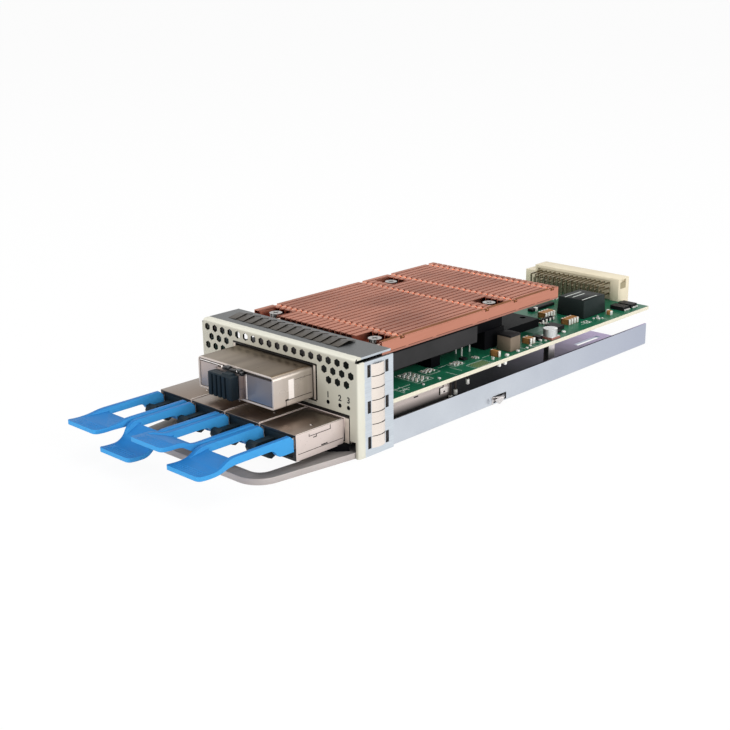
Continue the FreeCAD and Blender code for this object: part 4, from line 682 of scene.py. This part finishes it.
def side_seam():
    """The broken line on the cooler's flank where the fin sheet is brazed to the base."""
    low, high = corners("cooler_base")
    top = SEAM_HEIGHT + SEAM_WIDTH
    form = Form()
    start = low.y + SEAM_START
    for dash, gap in SEAM_DASHES:
        form.brick((high.x - SKIN, start, SEAM_HEIGHT), (high.x + SKIN, start + dash, top))
        start += dash + gap
    form.piece("cooler_seam", "copper_shadow", "copper")


curled_tips()
fin_feet()
fin_edge()
side_seam()


# Line module
LINE_RIM = 0.8
LINE_STRIPE = (-11.8, 20.6, -9.2, 28.0)
LINE_SEAM = ((-13.3, 20.5, -0.5, 20.75), (-13.3, 18.4, -13.0, 20.75), (-13.5, 20.4, -11.9, 21.0),
             (-8.6, 27.35, -0.5, 27.5))
FACE_SET = 0.5
FACE_LINE = 0.3
FACE_TOP = 0.9
FACE_RIGHT = 0.6
PLATE_EDGE = 1.2
PLATE_RIM = 0.4
SILL_ENDS = (-20.8, -8.0)
SILL_DROP = 0.75
LATCH_BAR = ((-6.2, -20.6, 28.2), (4.8, -19.1, 29.8))
LATCH_EARS = ((-4.8, -2.4), (1.2, 3.6))
LATCH_GLINTS = (-6.4, 2.0)


def line_module_marks():
    """A painted highlight stripe and the shell's seam on each flank, and lines of painted shadow round the
    face.
    """
    low, high = corners("line_module_shell")
    stripe, seam = Form(), Form()
    for x in (low.x, high.x):
        stripe.patch(x - SKIN, x + SKIN, LINE_STRIPE)
        for rim in LINE_SEAM:
            seam.patch(x - SKIN, x + SKIN, rim)
    left, foot, right, top = low.x + LINE_RIM, low.z + LINE_RIM, high.x - LINE_RIM, high.z - LINE_RIM
    near = low.y + FACE_SET
    far = near + FACE_LINE
    # painted shadow: dark lines round the face, under the shell's rim
    seam.brick((left, near, top - FACE_TOP), (right, far, top))
    seam.brick((left, near, foot), (left + FACE_LINE, far, top))
    seam.brick((right - FACE_RIGHT, near, foot), (right, far, top))
    stripe.piece("line_stripe", "bright_nickel", "module_nickel", "line_module")
    seam.piece("line_seams_and_shade", "seam_shadow", "module_nickel", "line_module")


def line_face_trim():
    """The face plate's edge and the sill above the receptacle in painted highlight, the plug's latch and
    painted glints on it.
    """
    low, high = corners("line_face_plate")
    inner = low.x + PLATE_EDGE
    pale, bright, latch = Form(), Form(), Form()
    pale.brick((low.x - 0.1, low.y - SKIN, low.z), (inner, low.y + PLATE_RIM, high.z), 0.03)
    bright.brick((inner, low.y - 0.2, low.z), (inner + PLATE_RIM, low.y + PLATE_RIM, high.z), 0.05)
    sill = corners("line_module_shell")[1].z - LINE_RIM - SILL_DROP
    bright.brick((SILL_ENDS[0], low.y - 0.2, sill), (SILL_ENDS[1], low.y + 0.2, sill + 0.3), 0.05)
    latch.brick(*LATCH_BAR, 0.25)
    for left, right in LATCH_EARS:
        latch.brick((left, -20.9, 29.2), (right, -19.1, 30.4), 0.3)
    for left in LATCH_GLINTS:
        bright.brick((left, -20.95, 29.4), (left + 0.6, -20.3, 30.0), 0.15)
    pale.piece("receptacle_flank", "plate_pale", "module_nickel", "line_module")
    bright.piece("face_edges", "bright_nickel", "module_nickel", "line_module")
    latch.piece("plug_latch", "latch_gloss", "plug_black", "line_module")


line_module_marks()
line_face_trim()


# Client modules
CLIENT_SLOTS = (
    (-17.2, 12.0, -6.7, 12.25), (-15.2, 11.05, -13.5, 11.4), (-13.8, 11.2, -13.5, 12.2),
    (-17.3, 12.0, -17.0, 12.9), (-6.9, 12.0, -6.6, 13.7), (-11.4, 7.05, -8.3, 7.5),
    (-22.6, 6.7, -0.3, 6.93),
)
EDGE_SIDES = (0.5, 0.2)
EDGE_END = 0.4
DIMPLE = (3.9, -12.3)
DIMPLE_SHIFT = (0.15, 0.2)
RIDGE_COUNT = 4
RIDGE_START = 1.6
RIDGE_STEP = 1.15
RIDGE_INSET = 2.4
RIDGE_HALF = 0.22


def client_marks(number):
    """Shell seams, latch slots, a dimple of painted highlight and shade, and a painted highlight along the
    top edge of one client module.
    """
    node = f"client_module_{number}"
    low, high = corners(node)
    dark, bright = Form(), Form()
    for x in (low.x, high.x):
        for rim in CLIENT_SLOTS:
            dark.patch(x - SKIN, x + SKIN, rim)
    # painted highlight: a bright strip along the top's right edge
    inner, outer = (high.x - side for side in EDGE_SIDES)
    bright.brick((inner, low.y + EDGE_END, high.z - SKIN), (outer, -EDGE_END, high.z + SKIN / 2))
    x, y = high.x - DIMPLE[0], DIMPLE[1]
    bright.drum((x, y), 0.5, high.z - SKIN, high.z + SKIN, 16)
    # painted shade: a dark spot set off the middle of the bright dimple
    spot = (x + DIMPLE_SHIFT[0], y + DIMPLE_SHIFT[1])
    dark.drum(spot, 0.4, high.z - SKIN, high.z + SKIN * 1.5, 16)
    dark.piece(f"client_seams_{number}", "seam_shadow", "module_nickel", node)
    bright.piece(f"client_edges_{number}", "bright_nickel", "module_nickel", node)


def tab_ridges(number):
    """Faint grip ridges across the pad of a pull tab."""
    node = f"pull_tab_{number}"
    low, high = corners(node)
    form = Form()
    for ridge in range(RIDGE_COUNT):
        y = low.y + RIDGE_START + ridge * RIDGE_STEP
        top = height_at(node, (low.x + high.x) / 2, y)
        form.brick((low.x + RIDGE_INSET, y - RIDGE_HALF, top - 0.3),
                   (high.x - RIDGE_INSET, y + RIDGE_HALF, top + 0.12), 0.1)
    form.piece(f"tab_ridges_{number}", finish_of[node], "tab_blue", node)


for number in CLIENTS:
    client_marks(number)
for number in CLIENTS:
    tab_ridges(number)


# Client cage's flank
CAGE_LUG = (52.5, 9.7, 57.3, 12.1)
LUG_HOLE = (54.2, 10.1, 55.2, 10.7)
LUG_OUTLINE = ((51.9, 9.6, 52.4, 12.1), (51.9, 12.1, 54.2, 12.4), (54.0, 12.1, 54.4, 13.6))
CAGE_SLOT = (37.2, 12.1, 39.7, 12.7)
CAGE_POSTS = (
    (37.4, 59.8, 8.3, 2.0), (36.9, 57.4, 6.6, 1.7), (37.2, 67.4, 10.6, 2.0), (41.0, 82.5, 15.0, 1.2),
    (41.0, 86.3, 15.0, 1.2),
)


def cage_flank():
    """A folded lug in painted highlight, dark slots and solder posts beside the client cage."""
    face = corners("client_cage")[1].x
    under = corners("main_board")[0].z
    lug, slot, posts, tips = Form(), Form(), Form(), Form()
    lug.patch(face - 0.1, face + 0.25, CAGE_LUG, 0.1)
    slot.patch(face - SKIN, face + SKIN, CAGE_SLOT)
    slot.patch(face - SKIN, face + 0.28, LUG_HOLE)
    for rim in LUG_OUTLINE:
        slot.patch(face - SKIN, face + 0.2, rim)
    for x, y, foot, tip in CAGE_POSTS:
        posts.drum((x, y), 0.4, foot + tip, under, 10)
        tips.drum((x, y), 0.8, foot, foot + tip, 12, 0.15)
    lug.piece("cage_lug", "bright_nickel", "cage_sheet")
    slot.piece("cage_slots", "seam_shadow", "cage_sheet")
    posts.piece("solder_posts", "seam_shadow", "pin_gold")
    tips.piece("solder_tips", "tin", "pin_gold")


cage_flank()


# Panel, tray walls and handle
SHADE_SHEET = (0.95, 0.88)
SHADE_PLATE = (4.2, 2.6, 16.5, 35.0)
SHADE_INSET = 0.5
FINGER_COUNT = 7
SLIT_START = 0.12
SLIT_HALF = 0.2
ARC_STEPS = 8
LEAF_COUNT = 13
LEAF_GAP = 0.35
LEAF_RIDGE = 5.7
LEAF_SHEET = 0.2
LEAF_TWIST = math.radians(3)
PORT_GAPS = {"line_cage_gasket": 0.55, "client_cage_gasket": 0.2}
NOTCH_FOOT = 2.45
NOTCH_SHADOWS = (
    (((38.3, -0.25), (35.6, -0.25), (35.6, -3.6)), 4.9),
    (((35.6, -0.25), (32.0, -0.25), (32.0, -6.5), (35.6, -3.6)), 4.1),
)
LIGHT_PLACES = (27.6, 33.6, 37.9)
LIGHT_RING = 0.8
LATCH_SIDES = (42.8, 43.4)
LATCH_NOSE = ((77.6, 2.4), (83.6, 2.7), (82.6, 1.2), (80.4, 0.2))
LATCH_LIP = (75.7, 0.9, 76.3, 2.9)
HANDLE_SPOT = (37.0, -8.0)
HANDLE_ROOT = ((34.5, -0.7), (31.6, -0.7), (31.3, -14.0), (30.9, -18.0), (34.0, -18.0))
HANDLE_SHEET = 2.2
NUMBER_HEIGHT = 3.1
NUMBER_WEIGHT = 0.1
NUMBER_LIFT = 1.1


def flange_lining():
    """A dark sheet of painted shade behind the clip slots and under the fingers of the side strip."""
    outer = corners("front_panel")[1].x
    low, high = corners("side_gasket")
    form = Form()
    form.patch(outer - SHADE_SHEET[0], outer - SHADE_SHEET[1], SHADE_PLATE)
    form.brick((outer - SKIN, low.y + SHADE_INSET, low.z + SHADE_INSET),
               (outer + SKIN, high.y - SHADE_INSET, high.z - SHADE_INSET))
    form.piece("flange_lining", "seam_shadow", "spring_metal")


def finger_slits():
    """The curved slits that part the fingers of the side strip."""
    low, high = corners("side_gasket")
    half, rise = (high.y - low.y) / 2, high.x - low.x
    bow = (half * half + rise * rise) / (2 * rise)
    middle = Vector((high.x - bow, (low.y + high.y) / 2))
    sweep = math.asin(half / bow) - SLIT_START
    swings = [SLIT_START + step * sweep / ARC_STEPS for step in range(ARC_STEPS + 1)]
    rays = [Vector((math.cos(swing), math.sin(swing))) for swing in swings]
    outline = [middle + (bow + SKIN) * ray for ray in rays]
    outline += [middle + (bow - SLIT_HALF) * ray for ray in reversed(rays)]
    form = Form()
    pitch = (high.z - low.z) / FINGER_COUNT
    for finger in range(1, FINGER_COUNT):
        slit = low.z + finger * pitch
        form.plate([tuple(spot) for spot in outline], slit - SLIT_HALF, slit + SLIT_HALF)
    form.piece("finger_slits", "seam_shadow", "spring_metal")


def finger_leaves():
    """The top strip's fingers: bent leaves, each with a slight twist."""
    low, high = corners("top_gasket")
    pitch = (high.x - low.x) / LEAF_COUNT
    width = pitch - LEAF_GAP
    lift = width / 2 * math.sin(LEAF_TWIST)
    foot, peak, ridge = low.z + lift, high.z - lift, low.y + LEAF_RIDGE
    outline = ((low.y, foot), (ridge, peak), (high.y, low.z + 0.3), (high.y - 0.3, low.z + 0.1),
               (ridge, peak - LEAF_SHEET), (low.y + 0.2, foot - LEAF_SHEET))
    form = Form()
    for leaf in range(LEAF_COUNT):
        left = low.x + leaf * pitch
        form.plate(outline, left, left + width, 0, Matrix.Rotation(-LEAF_TWIST, 3, "Y"))
    form.piece("finger_leaves", finish_of["top_gasket"], "spring_metal", replaces=("top_gasket",))


def port_shadows():
    """Painted shadow: dark strips beside the gaskets, under the modules' right end, and round the lights.
    """
    form = Form()
    for node, width in PORT_GAPS.items():
        low, high = corners(node)
        form.brick((high.x - 0.15, -SKIN, low.z), (high.x + width, 0.3, high.z))
    for outline, top in NOTCH_SHADOWS:
        form.plate(outline, NOTCH_FOOT, top)
    height = (corners("status_lights")[1].z + BOARD_TOP) / 2
    swings = [math.radians(degrees) for degrees in range(0, 360, 20)]
    for x in LIGHT_PLACES:
        ring = [(x + LIGHT_RING * math.cos(a), height + LIGHT_RING * math.sin(a)) for a in swings]
        form.plate(ring, -SKIN, SKIN, 1)
    form.piece("port_shadows", "foot_black", "painted_panel")


def latch_nose():
    """The bent nose of the spring latch and its bright edge, in both tray walls."""
    form = Form()
    for side in (-1, 1):
        near, far = sorted(side * x for x in LATCH_SIDES)
        form.plate(LATCH_NOSE, near, far, 0)
        form.patch(near, far, LATCH_LIP, 0.08)
    form.piece("latch_nose", "post_pale", "spring_metal")


def handle_roots():
    """The arms of the handle widen inwards where they pass under the panel."""
    top = height_at("handle", *HANDLE_SPOT)
    form = Form()
    for side in (-1, 1):
        form.plate([(side * x, y) for x, y in HANDLE_ROOT], top - HANDLE_SHEET, top)
    form.piece("handle_roots", finish_of["handle"], "handle_grey")


def panel_numbers():
    """A plain number over each status light."""
    foot = corners("status_lights")[1].z + NUMBER_LIFT
    upright = Matrix.Rotation(math.radians(90), 4, "X")
    form = Form()
    for number, x in enumerate(LIGHT_PLACES, 1):
        words = bpy.data.curves.new("number", "FONT")
        words.body = str(number)
        words.size = NUMBER_HEIGHT * MM
        words.extrude = SKIN * MM
        words.offset = NUMBER_WEIGHT * MM
        words.align_x = "CENTER"
        thing = bpy.data.objects.new("number", words)
        scene.collection.objects.link(thing)
        graph = bpy.context.evaluated_depsgraph_get()
        flat = bpy.data.meshes.new_from_object(thing.evaluated_get(graph))
        flat.transform(Matrix.Translation(Vector((x, 0, foot)) * MM) @ upright)
        form.mesh.from_mesh(flat)
        bpy.data.objects.remove(thing)
        bpy.data.curves.remove(words)
        bpy.data.meshes.remove(flat)
    form.piece("panel_numbers", "panel_ink", "painted_panel")


flange_lining()
finger_slits()
finger_leaves()
port_shadows()
latch_nose()
handle_roots()
panel_numbers()


# Circuit board: clusters are left, front, columns, rows and steps; parts are left, front and sizes
CLUSTERS = (
    (25.5, 39.6, 5, 4, 2.2, 1.7), (28.2, 49.8, 2, 4, 1.6, 1.4), (30.2, 64.4, 2, 4, 1.7, 1.3),
    (21.8, 135.0, 3, 2, 1.5, 1.6), (31.4, 76.8, 2, 2, 1.2, 1.1), (33.0, 114.0, 1, 3, 1.2, 1.1),
    (-16.5, 141.0, 4, 2, 2.0, 1.8), (-33.5, 160.5, 5, 2, 2.2, 1.6), (-22.0, 170.0, 5, 3, 2.1, 1.7),
    (-2.0, 172.0, 3, 3, 2.0, 1.7), (-40.8, 42.0, 2, 4, 1.7, 1.6), (-40.8, 84.0, 2, 4, 1.7, 1.6),
    (-40.4, 132.0, 2, 5, 1.8, 1.7),
)
TIN_BITS = (
    (38.6, 47.7, 1.0, 0.8, 0.5), (39.9, 87.6, 1.3, 1.2, 0.9), (39.6, 95.4, 1.1, 1.1, 0.7),
    (38.8, 80.3, 0.9, 0.9, 0.5), (36.7, 157.6, 1.2, 1.1, 0.6), (36.4, 151.0, 1.2, 0.4, 0.2),
    (7.4, 150.6, 1.4, 1.6, 1.6), (38.9, 38.3, 0.8, 0.8, 0.4), (33.6, 169.8, 1.0, 1.2, 1.4),
    (35.4, 158.6, 1.2, 0.8, 0.4), (31.2, 133.6, 0.9, 0.7, 0.5), (32.9, 134.4, 0.9, 0.7, 0.5),
    (30.3, 131.8, 0.7, 0.9, 0.4), (37.4, 113.6, 1.2, 0.9, 0.7), (34.2, 119.6, 0.9, 0.9, 0.6),
    (39.2, 115.2, 0.8, 0.8, 0.4), (34.9, 156.8, 0.8, 0.8, 0.5), (34.6, 160.6, 0.8, 0.9, 0.5),
    (37.5, 159.8, 0.7, 0.8, 0.4), (36.9, 82.4, 1.4, 0.7, 0.3), (39.7, 101.6, 0.9, 0.9, 0.5),
    (38.9, 105.0, 0.7, 1.0, 0.4), (35.0, 149.4, 0.7, 0.7, 0.2), (36.4, 149.4, 0.7, 0.7, 0.2),
    (35.0, 151.4, 0.7, 0.7, 0.2), (35.2, 125.6, 0.8, 0.8, 0.5),
)
DARK_CHIPS = (
    (29.1, 71.8, 2.6, 2.4, 0.8), (37.9, 39.2, 0.9, 0.8, 0.4), (33.6, 128.4, 3.2, 2.2, 1.0),
    (5.9, 148.4, 2.6, 17.0, 1.3), (-30.0, 146.0, 12.0, 12.0, 1.2), (-12.0, 150.0, 7.0, 7.0, 1.0),
    (-36.0, 168.0, 5.0, 6.0, 1.2), (-40.4, 64.0, 2.6, 4.0, 0.9), (-40.6, 108.0, 3.0, 5.0, 0.9),
)
BLACK_ROW = (136.2, 138.8, 141.4, 144.0)
BLACK_LEFT = 20.6
THIN_PINS = ((26.9, 76.2, 4.5), (23.2, 77.0, 5.5), (25.4, 83.0, 5.0), (21.9, 90.0, 6.0))
PIN_WIDTH = 0.4
TIN_DOT = (37.9, 131.0)
TALL_CAP = (35.6, 166.9)
SINK = 0.05
INK = 0.16
INK_FRAMES = (
    (24.6, 38.6, 37.05, 47.35), (27.4, 49.2, 33.25, 55.75), (36.2, 67.5, 41.6, 77.8),
    (34.4, 148.6, 37.6, 152.8), (-30.9, 145.1, -17.1, 158.9), (-12.9, 149.1, -4.1, 157.9),
    (-36.9, 167.1, -30.1, 174.9), (-41.2, 63.2, -37.0, 68.8), (-41.2, 107.2, -36.8, 113.8),
    (38.0, 105.8, 41.2, 111.6),
)
INK_LINES = (
    (33.5, 27.0, 40.5, 27.15), (34.0, 30.5, 37.5, 30.65), (37.4, 27.0, 37.55, 33.0),
    (35.5, 56.0, 41.5, 56.15), (33.0, 61.5, 39.0, 61.65), (36.2, 150.2, 36.35, 152.6),
    (35.6, 160.4, 40.4, 160.55), (34.5, 100.8, 40.5, 100.95), (30.0, 57.5, 30.15, 62.5),
    (35.2, 22.0, 35.38, 35.7), (38.2, 28.2, 39.4, 28.4), (38.2, 30.6, 39.4, 30.8),
    (38.1, 28.2, 38.3, 30.8), (29.4, 63.4, 33.8, 63.55), (33.7, 63.4, 33.85, 70.0),
    (34.6, 79.5, 34.75, 90.0), (30.6, 92.0, 30.75, 99.8), (36.6, 146.0, 36.75, 150.0),
)
FIELD = (36.8, 68.6)
FIELD_COLUMNS = 5
FIELD_ROWS = 9
FIELD_STEP = 0.95
FIELD_PAD = 0.55
PALE_PAD = (24.6, 121.0, 5.2, 9.4)
CERAMICS = ((15.2, 143.3, 4), (29.0, 141.3, 4), (34.9, 84.4, 1), (33.9, 106.9, 2))
CERAMIC_STEP = 1.95
CERAMIC_LENGTH = 4.3
CERAMIC_END = 0.7
CHIP_FRONTS = (176.5, 182.9)
CHIP_LEADS = 4
LEAD_START = 0.6
LEAD_STEP = 1.1
CAP_DEPTH = 1.1
POWER_STRIPES = ((21.5, 154.4, 166.9), (24.5, 156.1, 165.1), (30.4, 154.7, 166.1))
STRIPE_WIDTH = 0.45
KEY_POCKET = (190.6, 23.6, 195.0, 26.6)


def on_board(form, x, y, width, length, height, bevel=0.0, sink=SINK):
    """A block that stands on the circuit board."""
    form.brick((x, y, BOARD_TOP - sink), (x + width, y + length, BOARD_TOP + height), bevel)


def small_parts():
    """Chip capacitors and resistors with tinned ends in clusters, and other small parts."""
    bodies, darks, ends = Form(), Form(), Form()
    for left, front, columns, rows, step_x, step_y in CLUSTERS:
        for row in range(rows):
            for column in range(columns):
                x = left + column * step_x + (row % 2) * step_x / 3
                y = front + row * step_y
                on_board(darks if (row + column) % 2 else bodies, x + 0.2, y, 0.6, 0.6, 0.5)
                for end in (x, x + 0.7):
                    on_board(ends, end, y - 0.05, 0.35, 0.7, 0.55)
    for bit in TIN_BITS:
        on_board(ends, *bit, 0.05)
    for y in BLACK_ROW:
        on_board(darks, BLACK_LEFT, y, 2.2, 1.3, 1.4, 0.1)
        for x in (BLACK_LEFT - 0.3, BLACK_LEFT + 2.0):
            on_board(ends, x, y + 0.1, 0.5, 1.1, 1.3, 0.1)
    for x, y, height in THIN_PINS:
        on_board(ends, x - PIN_WIDTH / 2, y - PIN_WIDTH / 2, PIN_WIDTH, PIN_WIDTH, height)
    for chip in DARK_CHIPS:
        on_board(darks, *chip, 0.1)
    ends.drum(TIN_DOT, 0.9, BOARD_TOP - SINK, BOARD_TOP + 0.6, 20, 0.15)
    x, y = TALL_CAP
    on_board(bodies, x, y, 1.8, 1.8, 1.9, 0.2)
    for end in (x - 0.4, x + 1.7):
        on_board(ends, end, y + 0.1, 0.5, 1.6, 1.8, 0.1)
    bodies.piece("small_bodies", "ceramic_tan", "ceramic_tan")
    darks.piece("small_chips", "chip_black", "chip_black")
    ends.piece("tinned_ends", "tin", "can_silver")


def board_marks():
    """Printed lines and outlines, the bare contact field and the pale pad by the driver chip."""
    ink, pads, pale = Form(), Form(), Form()
    lines = list(INK_LINES)
    for left, front, right, rear in INK_FRAMES:
        lines += [(left, front, right, front + INK), (left, rear - INK, right, rear),
                  (left, front, left + INK, rear), (right - INK, front, right, rear)]
    for left, front, right, rear in lines:
        on_board(ink, left, front, right - left, rear - front, SKIN / 2, sink=SKIN)
    for row in range(FIELD_ROWS):
        for column in range(FIELD_COLUMNS):
            x, y = FIELD[0] + column * FIELD_STEP, FIELD[1] + row * FIELD_STEP
            on_board(pads, x, y, FIELD_PAD, FIELD_PAD, SKIN, sink=SKIN)
    on_board(pale, *PALE_PAD, SKIN / 2, sink=SKIN)
    ink.piece("board_ink", "silkscreen", "board_green")
    pads.piece("contact_field", "pad_gold", "pin_gold")
    pale.piece("pale_pad", "pale_mask", "board_green")


def connector_pocket():
    """The keying pocket in the right cheek of the backplane connector, as a patch of painted shade."""
    face = corners("backplane_connector")[1].x
    form = Form()
    form.patch(face - 0.3, face + SKIN, KEY_POCKET)
    form.piece("connector_pocket", "beige_shade", "connector_beige")


def part_trim():
    """Tinned ends of the ceramics with painted shade between them, chip leads, the inductor's cap, and
    stripes of painted reflection on the power block.
    """
    tin, black, stripes = Form(), Form(), Form()
    for left, front, count in CERAMICS:
        for place in range(count):
            y = front + place * CERAMIC_STEP
            for x in (left - SKIN, left + CERAMIC_LENGTH - CERAMIC_END):
                on_board(tin, x, y, CERAMIC_END + SKIN, 1.5, 2.42, 0.15, sink=0.0)
            # painted shade: a black block in the gap between neighbouring ceramics
            if place:
                on_board(black, left + 0.2, y - 0.5, CERAMIC_LENGTH - 0.35, 0.5 + SKIN, 2.0, sink=0.0)
    edge = corners("logic_chips")[1].x
    for front in CHIP_FRONTS:
        for lead in range(CHIP_LEADS):
            y = front + LEAD_START + lead * LEAD_STEP
            on_board(tin, edge - 0.1, y, 0.9, 0.45, 0.7, 0.08, sink=0.0)
    low, high = corners("inductor")
    black.brick((low.x - SKIN, low.y - SKIN, high.z - CAP_DEPTH),
                (high.x + SKIN, high.y + SKIN, high.z + SKIN), 0.3)
    top = corners("power_block")[1].z
    # painted reflection: pale stripes across the power block's top
    for left, front, rear in POWER_STRIPES:
        stripes.brick((left, front, top - SKIN), (left + STRIPE_WIDTH, rear, top + SKIN / 2))
    tin.piece("tinned_caps", "tin", "can_silver")
    black.piece("inductor_cap_and_gap_shade", "chip_black", "chip_black")
    stripes.piece("power_stripes", "silkscreen", "power_dark")


small_parts()
board_marks()
connector_pocket()
part_trim()


# Light and camera, in metres apart from the camera's place and sensor
WORLD_LIGHT = 0.55
FLOOR_HALF = 6.0
FLOOR_DROP = -0.05 * MM
FLOOR_GREY = 0.92
FLOOR_ROUGHNESS = 0.9
FLOOR_GLOW = 0.94
CAMERA_TURN = math.radians(43.86)
CAMERA_TILT = math.radians(17.67)
CAMERA_ROLL = math.radians(-0.75)
CAMERA_PLACE = (337.27, -302.84, 170.21)
FOCAL_PIXELS = 1273.3
PHOTO_PIXELS = 730
SENSOR = 36.0
LAMPS = {
    "front_lamp": ((-0.35, -1.2, 0.55), (0, 0.05, 0.02), (0.9, 0.7), 9.0),
    "side_lamp": ((1.2, 0.05, 0.5), (0, 0.05, 0.02), (0.9, 0.6), 9.0),
    "top_lamp": ((0.1, 0.2, 1.4), (0, 0.1, 0.02), (0.8, 0.8), 6.0),
}


def seen_share(nodes):
    """1 for rays that see a thing, straight, mirrored or through glass, and 0 for its stray light."""
    path = nodes.add("ShaderNodeLightPath", {}).outputs
    seen = path["Is Camera Ray"]
    for ray in ("Is Glossy Ray", "Is Transmission Ray"):
        seen = nodes.combine(seen, path[ray], "MAXIMUM")
    return seen


def studio_world():
    """White all round, dimmed for what it lights."""
    world = bpy.data.worlds.new("studio")
    scene.world = world
    world.use_nodes = True
    nodes = Nodes(world.node_tree)
    backdrop = world.node_tree.nodes["Background"]
    nodes.feed(backdrop.inputs["Strength"], nodes.spread(seen_share(nodes), WORLD_LIGHT, 1.0, 0.0, 1.0))
    nodes.feed(backdrop.inputs["Color"], (1.0, 1.0, 1.0, 1.0))


def floor_paper():
    """Matte pale paper with an even glow where it is seen."""
    paper = Finish(specular=0.0)
    paper.material.name = "floor_paper"
    share = paper.combine(seen_share(paper), FLOOR_GLOW)
    glow = paper.add("ShaderNodeEmission", {}).outputs["Emission"]
    blend = paper.add("ShaderNodeMixShader", {0: share, 1: paper.shader.outputs["BSDF"], 2: glow})
    paper.feed(paper.tree.nodes["Material Output"].inputs["Surface"], blend.outputs["Shader"])
    return paper.made((FLOOR_GREY, FLOOR_GREY, FLOOR_GREY, 1.0), FLOOR_ROUGHNESS)


def studio_floor():
    plan = bmesh.new()
    bmesh.ops.create_grid(plan, x_segments=1, y_segments=1, size=FLOOR_HALF)
    bmesh.ops.translate(plan, verts=plan.verts, vec=(0, 0, FLOOR_DROP))
    mesh = bpy.data.meshes.new("floor")
    plan.to_mesh(mesh)
    plan.free()
    mesh.materials.append(floor_paper())
    floor = bpy.data.objects.new("floor", mesh)
    scene.collection.objects.link(floor)


def photo_camera():
    """The camera stands where the photograph was taken from."""
    level = math.cos(CAMERA_TILT)
    back = Vector((math.sin(CAMERA_TURN) * level, -math.cos(CAMERA_TURN) * level, math.sin(CAMERA_TILT)))
    right = Vector((math.cos(CAMERA_TURN), math.sin(CAMERA_TURN), 0.0))
    up = back.cross(right)
    rolled_right = right * math.cos(CAMERA_ROLL) + up * math.sin(CAMERA_ROLL)
    rolled_up = up * math.cos(CAMERA_ROLL) - right * math.sin(CAMERA_ROLL)
    axes = Matrix((rolled_right, rolled_up, back)).transposed().to_4x4()
    lens = bpy.data.cameras.new("photo_camera")
    lens.sensor_width = SENSOR
    lens.lens = FOCAL_PIXELS / PHOTO_PIXELS * SENSOR
    lens.clip_start = 0.01
    camera = bpy.data.objects.new("photo_camera", lens)
    scene.collection.objects.link(camera)
    camera.matrix_world = Matrix.Translation(Vector(CAMERA_PLACE) * MM) @ axes
    scene.camera = camera


def soft_lamp(name, place, aim, size, power):
    lamp = bpy.data.lights.new(name, "AREA")
    lamp.shape = "RECTANGLE"
    lamp.size, lamp.size_y = size
    lamp.energy = power
    stand = bpy.data.objects.new(name, lamp)
    scene.collection.objects.link(stand)
    stand.location = place
    stand.rotation_euler = (Vector(aim) - Vector(place)).to_track_quat("-Z", "Y").to_euler()


studio_world()
studio_floor()
photo_camera()
for name, setting in LAMPS.items():
    soft_lamp(name, *setting)
